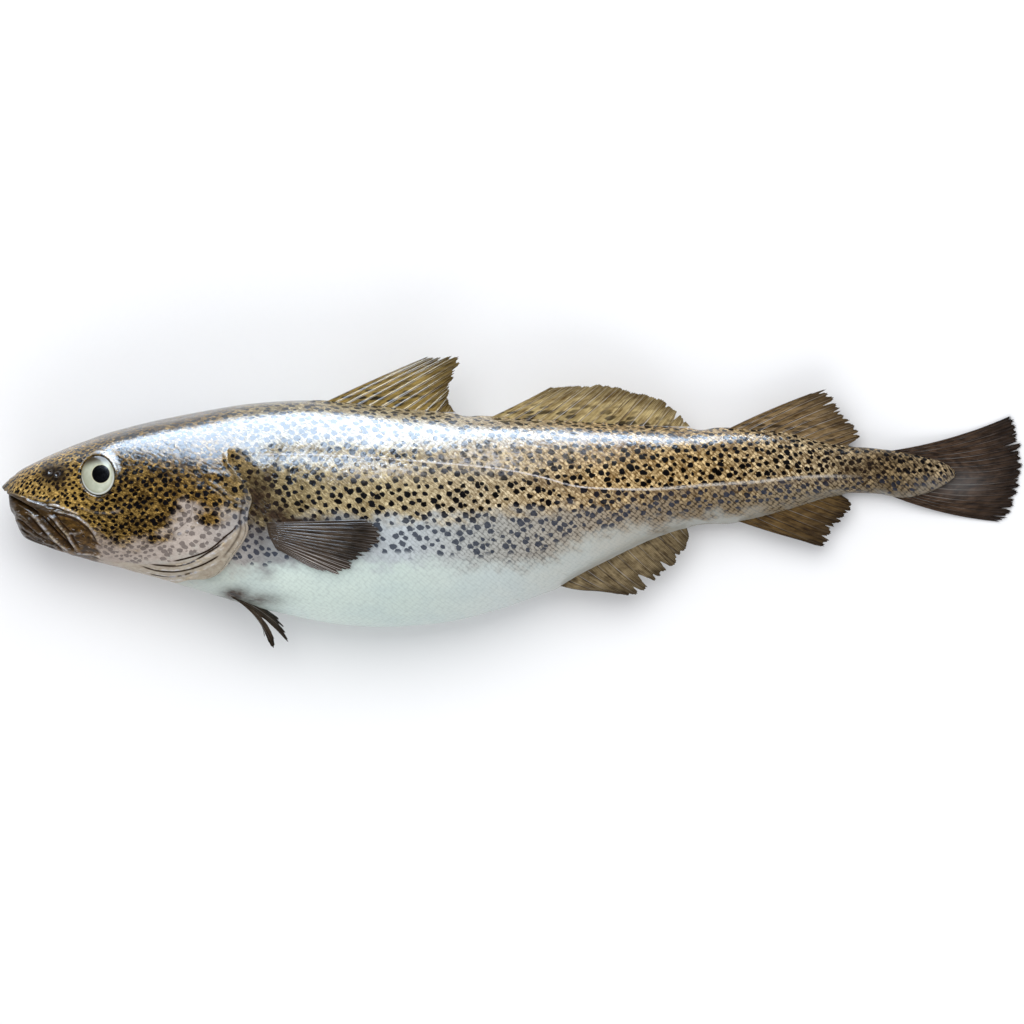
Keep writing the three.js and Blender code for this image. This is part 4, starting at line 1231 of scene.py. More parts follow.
def eye_piece(name, side):
    place, tail, back, out = frame_on_skin(EYE["s"], EYE["y"], side)
    share = np.linspace(1, INNER_RING, EYE_RINGS)[:, None] * np.ones((1, EYE_SIDES))
    turn = np.linspace(0, 2 * np.pi, EYE_SIDES, endpoint=False)[None, :] * side
    a = share * np.cos(turn) * EYE["across"]
    b = share * np.sin(turn) * EYE["tall"]
    height = DOME["bulge"] * np.sqrt(1 - (0.97 * share) ** 2) - DOME["sunk"]
    points = place + a[..., None] * tail + b[..., None] * back + height[..., None] * out
    pole = place + (DOME["bulge"] - DOME["sunk"]) * out
    quads, corners = ring_quads(EYE_RINGS, EYE_SIDES)
    flat = np.vstack([points.reshape(-1, 3), pole])
    eye_place = np.vstack([np.stack([a, b, share], -1).reshape(-1, 3), [[0, 0, 0]]])
    triangles = end_fan(EYE_RINGS - 1, EYE_SIDES, len(flat) - 1, True)
    map_turn = 2 * np.pi * corners[..., 1:]
    on_disc = np.concatenate([np.cos(map_turn), np.sin(map_turn)], -1)
    corners = 0.5 + 0.5 * (1 - corners[..., :1]) * on_disc
    return build(name, flat, quads, corners, attributes={"eye_place": eye_place}, triangles=triangles)


eyes = [eye_piece("eye", 1), eye_piece("right_eye", -1)]
print("eyes:", [eye.name for eye in eyes])

# %% The barbel
BARBEL = {
    "start": 19, "end": 41, "radius": 1.1, "tip": 0.3, "angle": 208, "turn": 20, "lift": 0.9, "sunk": 2.0,
}
BARBEL_RINGS, BARBEL_SIDES = 40, 16


def barbel_piece():
    share = np.linspace(0, 1, BARBEL_RINGS)
    length = BARBEL["end"] - BARBEL["start"]
    s = BARBEL["start"] + length * share
    inset = BARBEL["sunk"] - (BARBEL["sunk"] + BARBEL["lift"]) * smoothstep(share, 0, 0.3)
    path = skin_point(s, BARBEL["angle"] + BARBEL["turn"] * share, inset)
    way = np.gradient(path, axis=0)
    way /= np.linalg.norm(way, axis=1, keepdims=True)
    across = np.cross(way, (0, 0, 1))
    across /= np.linalg.norm(across, axis=1, keepdims=True)
    up = np.cross(across, way)
    turn = np.linspace(0, 2 * np.pi, BARBEL_SIDES, endpoint=False)
    radius = BARBEL["radius"] + (BARBEL["tip"] - BARBEL["radius"]) * share ** 0.8
    cos, sin = np.cos(turn)[None, :, None], np.sin(turn)[None, :, None]
    round_path = across[:, None] * cos + up[:, None] * sin
    points = path[:, None] + round_path * radius[:, None, None]
    points[..., 2] = np.maximum(points[..., 2], 0.1)
    quads, corners = ring_quads(BARBEL_RINGS, BARBEL_SIDES)
    flat = np.vstack([points.reshape(-1, 3), path[-1] + way[-1] * BARBEL["tip"]])
    ring = (share[:, None] * np.ones(BARBEL_SIDES)).ravel()
    along = np.r_[ring, 1.0]
    attributes = {"place": np.stack([along * length, along, 0 * along], -1)}
    triangles = end_fan(BARBEL_RINGS - 1, BARBEL_SIDES, len(flat) - 1, True)
    return build(
        "barbel", flat, quads[:, ::-1], corners[:, ::-1], attributes=attributes, triangles=triangles,
    )


barbel = barbel_piece()

# %% [markdown]
# ## Paint tools
#
# Every finish below is made of shader nodes. A few helpers keep that readable: add places a node, calc,
# times and times_plus do sums, slanted turns and stretches a place, fade turns a number into a
# soft-edged mask, blend mixes two colours by a mask, and bumped makes a height into a normal.

# %% Node helpers
def tone(red, green, blue):
    """A colour as a screen shows it, 0 to 255 each, in the linear values that shaders use."""
    linear = [((c / 255 + 0.055) / 1.055) ** 2.4 if c > 10 else c / 255 / 12.92 for c in (red, green, blue)]
    return (*linear, 1.0)


def put(tree, socket, value):
    if isinstance(value, bpy.types.NodeSocket):
        tree.links.new(value, socket)
    else:
        socket.default_value = value


def set_inputs(tree, node, values):
    """Give a node's inputs their values or links, by name or number."""
    for name, value in values.items():
        put(tree, node.inputs[name], value)


def add(tree, kind, values=None, **settings):
    made = tree.nodes.new("ShaderNode" + kind)
    for name, value in settings.items():
        setattr(made, name, value)
    set_inputs(tree, made, values or {})
    return made


def calc(tree, operation, *values):
    made = add(tree, "Math", operation=operation)
    for socket, value in zip(made.inputs, values):
        put(tree, socket, value)
    return made.outputs[0]


def times(tree, first, second):
    return calc(tree, "MULTIPLY", first, second)


def times_plus(tree, first, second, added):
    return calc(tree, "MULTIPLY_ADD", first, second, added)


def vector_calc(tree, operation, first, second):
    return add(tree, "VectorMath", {0: first, 1: second}, operation=operation).outputs[0]


def slanted(tree, place, lean, stretch):
    """A place on the skin, turned by a lean and then stretched along each axis."""
    values = {"Vector": place, "Angle": lean}
    turned = add(tree, "VectorRotate", values, rotation_type="Z_AXIS").outputs[0]
    return vector_calc(tree, "MULTIPLY", turned, stretch)


def fade(tree, value, start, end, low=0.0, high=1.0):
    values = {"Value": value, "From Min": start, "From Max": end, "To Min": low, "To Max": high}
    return add(tree, "MapRange", values, interpolation_type="SMOOTHSTEP").outputs["Result"]


def blend(tree, share, first, second):
    values = {0: share, 6: first, 7: second}  # the mix node's inputs for colours
    return add(tree, "Mix", values, data_type="RGBA").outputs[2]


def carried(tree, name):
    """The three numbers that the mesh carries under a name, and all of them as a vector."""
    vector = add(tree, "Attribute", attribute_name=name).outputs["Vector"]
    parts = add(tree, "SeparateXYZ", {"Vector": vector}).outputs
    return vector, parts[0], parts[1], parts[2]


def noise(tree, vector, scale, detail=2.0, roughness=0.5):
    values = {"Vector": vector, "Scale": scale, "Detail": detail, "Roughness": roughness}
    return add(tree, "TexNoise", values, noise_dimensions="3D").outputs["Fac"]


def bumped(tree, height, strength, depth):
    """A normal that follows a height; the depth is in mm."""
    values = {"Height": height, "Strength": strength, "Distance": depth * MM}
    return add(tree, "Bump", values).outputs["Normal"]


def along_ramp(tree, value, stops):
    """A colour that changes with a value, through stops of (value, tone)."""
    ramp = add(tree, "ValToRGB", {"Fac": value})
    elements = ramp.color_ramp.elements
    while len(elements) < len(stops):
        elements.new(0.5)
    for element, (place, colour) in zip(elements, stops):
        element.position = place
        element.color = tone(*colour)
    return ramp.outputs["Color"]


def new_group(name, inputs, outputs):
    """A node group with named inputs (label, kind, value) and named value outputs."""
    tree = bpy.data.node_groups.new(name, "ShaderNodeTree")
    for label, kind, value in inputs:
        socket = tree.interface.new_socket(label, in_out="INPUT", socket_type="NodeSocket" + kind)
        if value is not None:
            socket.default_value = value
    for label, kind in outputs:
        tree.interface.new_socket(label, in_out="OUTPUT", socket_type="NodeSocket" + kind)
    given = tree.nodes.new("NodeGroupInput").outputs
    return tree, given, tree.nodes.new("NodeGroupOutput").inputs


def use_group(tree, group, **values):
    made = tree.nodes.new("ShaderNodeGroup")
    made.node_tree = group
    set_inputs(tree, made, values)
    return made.outputs


# %% [markdown]
# ## Spots, scales, flecks and rays as node groups
#
# A cod's spots are unevenly sized dark blots with soft, wobbly outlines, spaced almost evenly, like
# cells. That is just what Voronoi cells give: the distance to the nearest cell's middle, cut off at a
# radius that differs from cell to cell. Scales are a much finer, nearly regular diamond lattice of the
# same kind, each a little higher towards the tail. Flecks are cut-off noise. Rays are lines that repeat
# across a fin, with branches. Each is a group, because skin and fins share them with other values.

# %% The spots group
def flat_cells(tree, vector, evenness):
    """Voronoi cells one unit apart on the first two axes."""
    values = {"Vector": vector, "Scale": 1.0, "Randomness": evenness}
    return add(tree, "TexVoronoi", values, voronoi_dimensions="2D").outputs


def make_spots_group():
    tree, given, out = new_group(
        "Spots",
        [("Vector", "Vector", None), ("Size", "Float", 0.3), ("Softness", "Float", 0.05),
         ("Wobble", "Float", 0.35), ("Missing", "Float", 0.1), ("Evenness", "Float", 0.75)],
        [("Mask", "Float"), ("Tone", "Float")],
    )
    drift = add(tree, "TexNoise", {"Vector": given["Vector"], "Scale": 1.1, "Detail": 2.0}).outputs["Color"]
    centred = vector_calc(tree, "SUBTRACT", drift, (0.5, 0.5, 0.5))
    push = add(tree, "VectorMath", {0: centred, "Scale": given["Wobble"]}, operation="SCALE").outputs[0]
    pushed = vector_calc(tree, "ADD", given["Vector"], push)
    cells = flat_cells(tree, pushed, given["Evenness"])
    random = add(tree, "SeparateColor", {"Color": cells["Color"]}).outputs
    outline = noise(tree, given["Vector"], 3.0)
    distance = times_plus(tree, calc(tree, "SUBTRACT", outline, 0.5), 0.34, cells["Distance"])
    radius = times(tree, given["Size"], times_plus(tree, random[0], 0.55, 0.72))
    inner = calc(tree, "SUBTRACT", radius, given["Softness"])
    outer = calc(tree, "ADD", radius, given["Softness"])
    shown = calc(tree, "GREATER_THAN", random[1], given["Missing"])
    tree.links.new(times(tree, fade(tree, distance, outer, inner), shown), out["Mask"])
    tree.links.new(random[2], out["Tone"])
    return tree


spots_group = make_spots_group()


# %% The scales group
SCALE_LEAN = -SPOT_LEAN  # rows of scales slant down towards the tail
SCALE_STRETCH = (0.66, 1.0, 0.0)


def make_scales_group():
    tree, given, out = new_group(
        "Scales",
        [("Vector", "Vector", None), ("Pitch", "Float", 2.2), ("Evenness", "Float", 0.42)],
        [("Height", "Float"), ("Edge", "Float"), ("Fleck", "Float")],
    )
    size = calc(tree, "DIVIDE", 1.0, given["Pitch"])
    sized = add(tree, "VectorMath", {0: given["Vector"], "Scale": size}, operation="SCALE").outputs[0]
    leaned = slanted(tree, sized, SCALE_LEAN, SCALE_STRETCH)
    cells = flat_cells(tree, leaned, given["Evenness"])
    from_middle = vector_calc(tree, "SUBTRACT", leaned, cells["Position"])
    towards_tail = (math.cos(SCALE_LEAN), math.sin(SCALE_LEAN), 0)
    values = {0: from_middle, 1: towards_tail}
    overlap = add(tree, "VectorMath", values, operation="DOT_PRODUCT").outputs["Value"]
    plate = fade(tree, cells["Distance"], 0.62, 0.3)
    tree.links.new(times_plus(tree, overlap, 0.7, plate), out["Height"])
    tree.links.new(fade(tree, cells["Distance"], 0.34, 0.6), out["Edge"])
    tree.links.new(add(tree, "SeparateColor", {"Color": cells["Color"]}).outputs[0], out["Fleck"])
    return tree


scales_group = make_scales_group()


# %% The flecks group
def make_flecks_group():
    tree, given, out = new_group(
        "Flecks",
        [("Vector", "Vector", None), ("Size", "Float", 3.0), ("Balance", "Float", 0.5),
         ("Edge", "Float", 0.12)],
        [("Mask", "Float")],
    )
    size = calc(tree, "DIVIDE", 1.0, given["Size"])
    speckle = noise(tree, given["Vector"], size, 3.0, 0.62)
    low = calc(tree, "SUBTRACT", given["Balance"], given["Edge"])
    high = calc(tree, "ADD", given["Balance"], given["Edge"])
    tree.links.new(fade(tree, speckle, low, high), out["Mask"])
    return tree


flecks_group = make_flecks_group()


def flecks(tree, vector, size, balance=0.5, edge=0.2):
    """A mask of flecks of about a size; more balance leaves fewer, and less edge makes them crisper."""
    values = {"Vector": vector, "Size": size, "Balance": balance, "Edge": edge}
    return use_group(tree, flecks_group, **values)["Mask"]


# %% The fin rays group
def make_rays_group():
    tree, given, out = new_group(
        "Fin rays",
        [("Vector", "Vector", None), ("Width", "Float", 0.34), ("Offset", "Float", 0.4)],
        [("Ray", "Float"), ("Glint", "Float"), ("Thread", "Float")],
    )
    phase, along, spacing = add(tree, "SeparateXYZ", {"Vector": given["Vector"]}).outputs
    waved = times_plus(tree, noise(tree, given["Vector"], 2.2), 0.12, phase)
    local = calc(tree, "SUBTRACT", waved, calc(tree, "ROUND", calc(tree, "SUBTRACT", waved, 0.06)))
    local = calc(tree, "SUBTRACT", local, 0.06)
    in_mm = times(tree, local, spacing)
    from_ray = calc(tree, "ABSOLUTE", in_mm)
    split = times(tree, fade(tree, along, 0.3, 1.0, 0.0, 0.2), spacing)
    from_branch = calc(tree, "ABSOLUTE", calc(tree, "SUBTRACT", from_ray, split))
    spread = fade(tree, spacing, 0.9, 2.6)
    ray = fade(tree, from_branch, given["Width"], times(tree, given["Width"], 0.3))
    tree.links.new(times(tree, ray, spread), out["Ray"])
    beside = calc(tree, "ABSOLUTE", calc(tree, "SUBTRACT", in_mm, given["Offset"]))
    tree.links.new(times(tree, fade(tree, beside, 0.3, 0.06), spread), out["Glint"])
    fine = calc(tree, "PINGPONG", times(tree, phase, 7.0), 0.5)
    tree.links.new(times(tree, fade(tree, fine, 0.2, 0.42), spread), out["Thread"])
    return tree


rays_group = make_rays_group()
print("groups:", [group.name for group in bpy.data.node_groups])

# %% [markdown]
# ## The skin
#
# Cod skin is a stack of thin things: a pale or tan ground that darkens along the back, light flecks from
# single scales, dark spots, and a film of slime over it all. One flat brown would look like leather. The
# ground colours come first, as ramps from snout to tail, then flecks, then spots that fade from
# near-black on the back to slate on the flank and stop before the white belly. The jaw and the gill's thin
# skin are laid over by the numbers that the net carries, and so are painted shade in the face's creases,
# painted highlights along its ridges and edges, and painted shadows round the fins and a few dark patches.

# %% Ground colours of the skin, from snout to tail
LIGHT_TAN = [
    (0.0, (132, 112, 76)), (0.02, (226, 190, 116)), (0.08, (232, 190, 104)), (0.22, (208, 166, 90)),
    (0.27, (190, 170, 122)), (0.4, (222, 206, 164)), (0.5, (230, 214, 180)), (0.63, (226, 198, 148)),
    (0.73, (222, 192, 138)), (0.84, (228, 206, 164)), (0.93, (158, 134, 96)), (1.0, (184, 164, 130)),
]
DARK_TAN = [
    (0.0, (50, 40, 28)), (0.02, (98, 70, 28)), (0.08, (44, 29, 6)), (0.22, (46, 30, 5)),
    (0.27, (58, 46, 22)), (0.4, (112, 94, 60)), (0.5, (114, 96, 66)), (0.63, (102, 74, 34)),
    (0.73, (90, 64, 24)), (0.84, (84, 62, 32)), (0.93, (38, 27, 13)), (1.0, (68, 54, 36)),
]
LIGHT_GREY = [
    (0.0, (126, 106, 86)), (0.2, (190, 178, 168)), (0.28, (140, 141, 141)), (0.42, (186, 193, 196)),
    (0.5, (171, 172, 167)), (0.63, (156, 143, 124)), (0.73, (132, 115, 90)), (0.84, (142, 127, 102)),
    (0.93, (100, 86, 66)), (1.0, (140, 128, 110)),
]
DARK_GREY = [
    (0.0, (58, 40, 28)), (0.2, (94, 80, 72)), (0.28, (80, 80, 84)), (0.42, (120, 125, 128)),
    (0.5, (75, 74, 73)), (0.63, (62, 52, 44)), (0.73, (48, 38, 28)), (0.84, (50, 40, 29)),
    (0.93, (36, 28, 22)), (1.0, (56, 47, 40)),
]
BELLY_WHITE = [
    (0.0, (118, 104, 88)), (0.2, (178, 182, 170)), (0.3, (207, 220, 211)), (0.42, (195, 208, 200)),
    (0.52, (196, 203, 198)), (0.63, (182, 180, 170)), (0.73, (156, 150, 136)), (0.84, (140, 130, 114)),
    (1.0, (140, 128, 110)),
]


def new_material(name):
    material = bpy.data.materials.new(name)
    material.use_nodes = True
    tree = material.node_tree
    shader = tree.nodes["Principled BSDF"]
    return material, tree, shader


COMB_STRETCH = (0.4, 1.0, 0.0)  # turns noise into dashes along the rows of scales
GROUND_PITCH = 1.9  # mm from one scale to the next
TAN_CONTRAST = 1.75  # above 1, more of the back is dark
WANDER = 22.0  # mm by which the borders between the ground's zones wander


def ground_colour(tree, place, s, levels):
    """Tan back, grey flank and white belly, flecked by scales."""
    run = calc(tree, "DIVIDE", s, BODY_LENGTH)
    above_tan, above_last = levels
    scales = use_group(tree, scales_group, Vector=place, Pitch=GROUND_PITCH)
    combed = slanted(tree, place, SCALE_LEAN, COMB_STRETCH)
    blotch = flecks(tree, place, 12.0)
    patch = flecks(tree, combed, 1.7, edge=0.22)
    grain = flecks(tree, combed, 0.75)
    dash = flecks(tree, combed, 1.1, 0.6, 0.05)
    light = times_plus(tree, patch, 0.44, times_plus(tree, grain, 0.3, 0.02))
    light = times_plus(tree, blotch, 0.22, light)
    scaly = fade(tree, s, 150.0, 400.0, 0.15, 1.0)
    in_scale = fade(tree, scales["Edge"], 0.5, 0.0)
    dot = times(tree, in_scale, fade(tree, scales["Fleck"], 0.25, 0.95))
    raised_by = times_plus(tree, scales["Edge"], -0.26, times(tree, dot, 0.42))
    light = times_plus(tree, raised_by, scaly, times_plus(tree, dash, 0.4, light))
    behind_snout = fade(tree, s, 30.0, 75.0, 0.02, -0.24)
    head_shade = calc(tree, "ADD", behind_snout, fade(tree, s, 105.0, 160.0, 0.0, 0.22))
    tan_light = calc(tree, "ADD", light, head_shade)
    tan_light = calc(tree, "POWER", calc(tree, "MAXIMUM", tan_light, 0.0), TAN_CONTRAST)
    tan = blend(tree, tan_light, along_ramp(tree, run, DARK_TAN), along_ramp(tree, run, LIGHT_TAN))
    netted = times(tree, scales["Edge"], fade(tree, s, 140.0, 420.0, 0.0, 0.6))
    lattice = calc(tree, "SUBTRACT", times_plus(tree, light, 0.5, 0.6), netted)
    grey = blend(tree, lattice, along_ramp(tree, run, DARK_GREY), along_ramp(tree, run, LIGHT_GREY))
    soft = noise(tree, place, 0.09, 3.0)
    soft = times_plus(tree, noise(tree, combed, 0.3, 2.0), 0.4, soft)
    wander = times(tree, calc(tree, "SUBTRACT", soft, 0.7), WANDER)
    tan_share = fade(tree, calc(tree, "ADD", above_tan, wander), -7.0, 6.0)
    white = along_ramp(tree, run, BELLY_WHITE)
    cloudy = flecks(tree, place, 30.0, 0.52, 0.16)
    white = blend(tree, times(tree, cloudy, 0.2), white, tone(162, 182, 190))
    fine = times_plus(tree, scales["Edge"], 0.16, times(tree, patch, 0.14))
    white = blend(tree, fine, white, tone(140, 150, 150))
    white_share = fade(tree, calc(tree, "ADD", above_last, wander), 2.0, -11.0)
    lower = blend(tree, white_share, grey, white)
    return blend(tree, tan_share, lower, tan), tan_share, scales, patch


# %% Spots, creases and thin skin over the ground
FOLD_LEAN = -math.radians(48)  # the way the folds of the jaw run
FOLD_STRETCH = (0.16, 0.9, 0)
SMALL_SPOTS_SHIFT = (31.4, 17.7, 0)  # small spots take other cells than the main ones


def spotted(tree, colour, spot_map, levels, tan_share, hidden, on_head):
    """Dark spots over a ground colour, near-black above and slate below."""
    above_last = levels[1]
    size = times_plus(tree, on_head, 0.03, 0.31)
    main = use_group(
        tree, spots_group, Vector=spot_map, Size=size, Softness=0.04, Wobble=0.45, Missing=0.03,
        Evenness=0.66,
    )
    shifted = vector_calc(tree, "ADD", spot_map, SMALL_SPOTS_SHIFT)
    small = use_group(
        tree, spots_group, Vector=shifted, Size=0.13, Softness=0.05, Wobble=0.6, Missing=0.75,
    )["Mask"]
    edge = calc(tree, "ADD", above_last, times(tree, main["Tone"], -7.0))
    shown = times(tree, fade(tree, edge, -4.5, -1.0), calc(tree, "SUBTRACT", 1.0, hidden))
    mask = calc(tree, "MAXIMUM", main["Mask"], times(tree, small, 0.7))
    mask = times(tree, mask, shown)
    on_grey = times_plus(tree, on_head, -0.26, 0.88)
    strength = times(tree, mask, fade(tree, tan_share, 0.0, 1.0, on_grey, 1.0))
    slate = blend(tree, on_head, tone(40, 48, 64), tone(58, 48, 48))
    ink = blend(tree, tan_share, slate, tone(8, 5, 3))
    ink = blend(tree, times(tree, main["Tone"], 0.15), ink, tone(30, 30, 42))
    return blend(tree, strength, colour, ink), mask


def faced(tree, colour, place, marks, touches):
    """Jaw, gill skin, painted shade in creases, painted highlights, and painted shadows and dark patches over
    the spotted skin.
    """
    jaw, crease_shade, film = marks
    pale_edge_and_highlight, shadow_and_patch, nostril = touches
    folded = slanted(tree, place, FOLD_LEAN, FOLD_STRETCH)
    streak = flecks(tree, folded, 1.5)
    glint = flecks(tree, folded, 0.9, 0.66, 0.05)
    mottle = flecks(tree, place, 4.0)
    s = add(tree, "SeparateXYZ", {"Vector": place}).outputs[0]
    jaw_colour = blend(tree, streak, tone(12, 7, 3), tone(48, 34, 22))
    golden = times(tree, mottle, fade(tree, s, 26.0, 38.0, 0.25, 0.8))
    gold = blend(tree, streak, tone(66, 42, 12), tone(122, 90, 40))
    jaw_colour = blend(tree, golden, jaw_colour, gold)
    jaw_colour = blend(tree, times(tree, glint, 0.6), jaw_colour, tone(186, 180, 178))
    torn = calc(tree, "SUBTRACT", noise(tree, folded, 0.45, 3.0), 0.5)
    ragged = times_plus(tree, torn, 1.7, jaw)
    colour = blend(tree, fade(tree, ragged, 0.28, 0.72, 0.0, 0.96), colour, jaw_colour)
    film_colour = blend(tree, mottle, tone(136, 120, 102), tone(168, 156, 138))
    film_colour = blend(tree, times(tree, streak, 0.3), film_colour, tone(184, 174, 156))
    colour = blend(tree, times(tree, film, 0.9), colour, film_colour)
    # Painted shadows and dark patches, in dark browns streaked like the jaw.
    shadow_and_patch_share = times(tree, shadow_and_patch, times_plus(tree, mottle, 0.3, 0.72))
    shadow_and_patch_colour = blend(tree, streak, tone(24, 16, 10), tone(66, 50, 36))
    colour = blend(tree, shadow_and_patch_share, colour, shadow_and_patch_colour)
    colour = blend(tree, times(tree, nostril, 0.85), colour, tone(20, 13, 6))
    # Painted shade in grooves, creases and nostrils: dark brown, near black where it is deepest, as in the
    # mouth's cleft.
    crease_shade_colour = blend(tree, fade(tree, crease_shade, 0.55, 0.9), tone(44, 29, 16), tone(9, 5, 3))
    colour = blend(tree, fade(tree, crease_shade, 0.0, 0.6), colour, crease_shade_colour)
    # Painted highlight: cream to bluish white along ridges, on rims and on pale edges, broken up by noise.
    patchy = fade(tree, noise(tree, place, 0.35, 3.0), 0.36, 0.6, 0.25, 1.25)
    shine = blend(tree, mottle, tone(226, 206, 170), tone(206, 212, 226))
    return blend(tree, times(tree, pale_edge_and_highlight, patchy), colour, shine)


# %% The lateral line's colour, and the whole skin material
def lined(tree, colour, place, s, over_line, line_shown):
    """The lateral line is a pale, broken thread, faint in front and bright towards the tail."""
    near = calc(tree, "ABSOLUTE", over_line)
    broken = fade(tree, noise(tree, place, 0.8, 3.0), 0.38, 0.56, 0.3, 1.0)
    width = fade(tree, s, 350.0, 420.0, 0.8, 1.6)
    core = fade(tree, near, width, times(tree, width, 0.1))
    growing = fade(tree, s, 220.0, 300.0, 0.35, 0.85)
    strength = calc(tree, "ADD", growing, fade(tree, s, 400.0, 500.0, 0.0, -0.2))
    strength = times(tree, times(tree, strength, broken), line_shown)
    below = times(tree, fade(tree, over_line, -0.6, -1.6), fade(tree, over_line, -7.0, -2.0))
    shade = times(tree, below, fade(tree, s, 300.0, 400.0, 0.15, 0.4))
    shade = times(tree, shade, line_shown)
    colour = blend(tree, shade, colour, tone(54, 50, 58))
    pale = blend(tree, fade(tree, s, 330.0, 420.0), tone(226, 220, 218), tone(196, 188, 178))
    return blend(tree, times(tree, core, strength), colour, pale)


SKIN_RELIEF = 0.16  # mm of the bumps' depth


def skin_material():
    material, tree, shader = new_material("wet cod skin")
    place, s, *_ = carried(tree, "place")
    spot_map = carried(tree, "spot_map")[0]
    _, above_tan, above_last, over_line = carried(tree, "levels")
    _, jaw, crease_shade, film = carried(tree, "marks")
    _, pale_edge_and_highlight, shadow_and_patch, nostril = carried(tree, "touches")
    _, line_shown, head_share, _ = carried(tree, "areas")
    levels = (above_tan, above_last)
    colour, tan_share, scales, patch = ground_colour(tree, place, s, levels)
    hidden = calc(tree, "MAXIMUM", jaw, film)
    colour, spots = spotted(tree, colour, spot_map, levels, tan_share, hidden, head_share)
    colour = lined(tree, colour, place, s, over_line, line_shown)
    colour = faced(tree, colour, place, (jaw, crease_shade, film), (pale_edge_and_highlight, shadow_and_patch, nostril))
    slime = noise(tree, place, 0.05, 4.0)
    scaly = times(tree, scales["Height"], fade(tree, s, 20.0, 160.0, 0.2, 1.0))
    bumps = times_plus(tree, noise(tree, place, 0.9, 3.0), 0.6, times(tree, scaly, 0.42))
    bumps = times_plus(tree, spots, -0.12, bumps)
    swells = times_plus(tree, noise(tree, place, 0.13, 2.0), 2.2, bumps)
    swells = times_plus(tree, patch, 0.9, swells)
    set_inputs(tree, shader, {
        "Base Color": colour,
        "Roughness": fade(tree, slime, 0.3, 0.7, 0.34, 0.5),
        "Normal": bumped(tree, bumps, 0.8, SKIN_RELIEF),
        "Specular IOR Level": 0.04,
        "Coat Weight": fade(tree, above_tan, 16.0, 38.0, 0.5, 0.95),
        "Coat Roughness": 0.1,
        "Coat IOR": 1.42,
        "Coat Normal": bumped(tree, swells, 0.65, SKIN_RELIEF),
    })
    return material


wet_skin = skin_material()
for piece in skin_pieces:
    piece.data.materials.append(wet_skin)
print("skin material with", len(wet_skin.node_tree.nodes), "nodes")

# %% [markdown]
# ## The fins' finish
#
# The web is a thin olive to brown skin. Each ray is a darker line with a thin bright one beside it, where
# its wet shoulder catches the light, and towards the edge the web goes darker and threadier. Near the
# back, spots sit in rows between the rays. One function makes the finish for every fin from its own few
# colours.

# %% Fin materials
FIN_FINISHES = {
    "olive fin": dict(
        pieces=["first_dorsal"], light=(178, 150, 82), dark=(62, 44, 16), ray=(50, 36, 16),
        glint=0.9, spots=0.95, sheath_highlight=0.9,
    ),
    "straw fin": dict(
        pieces=["second_dorsal"], light=(214, 192, 136), dark=(94, 70, 32), ray=(74, 54, 26),
        glint=0.9, spots=0.9, sheath_highlight=0.9,
    ),
    "brown fin": dict(
        pieces=["third_dorsal"], light=(158, 132, 92), dark=(62, 43, 20), ray=(26, 17, 10),
        glint=0.8, spots=0.8, sheath_highlight=0.2,
    ),
    "anal fin": dict(
        pieces=["first_anal"], light=(152, 134, 100), dark=(58, 44, 26), ray=(34, 23, 13),
        glint=0.35, spots=0.3, sheath_highlight=0.0,
    ),
    "dark fin": dict(
        pieces=["second_anal"], light=(112, 88, 50), dark=(38, 24, 12), ray=(22, 13, 8),
        glint=0.16, spots=0.2, sheath_highlight=0.0,
    ),
    "tail fin": dict(
        pieces=["tail_fin"], light=(88, 68, 52), dark=(26, 17, 11), ray=(18, 11, 8),
        glint=0.25, spots=0.6, sheath_highlight=0.0, pale_web=((98, 99, 100), (136, 134, 130)),
    ),
    "paired fin": dict(
        pieces=["pectoral_fin", "pelvic_fin", "right_pectoral_fin", "right_pelvic_fin"], light=(86, 72, 58),
        dark=(24, 18, 13), ray=(22, 15, 10), glint=0.5, spots=0.0, sheath_highlight=0.0,
    ),
}


PALE_WEB = ((66, 56, 48), (190, 182, 176))  # a pale fin's web and rays
RAY_PITCH = 6.0  # mm from ray to ray that the clouds on the web reckon with
SPOT_ROW = 5.0  # mm from one row of spots to the next
GRAIN_STRETCH = (1.0, 0.13, 1)  # draws grain out along the rays
TIP_SHADE, THREAD_SHADE = 0.62, 0.6  # the web's dark colour at the tips and in threads, as shares of it
FIN_RELIEF = 0.15  # mm of the bumps' depth


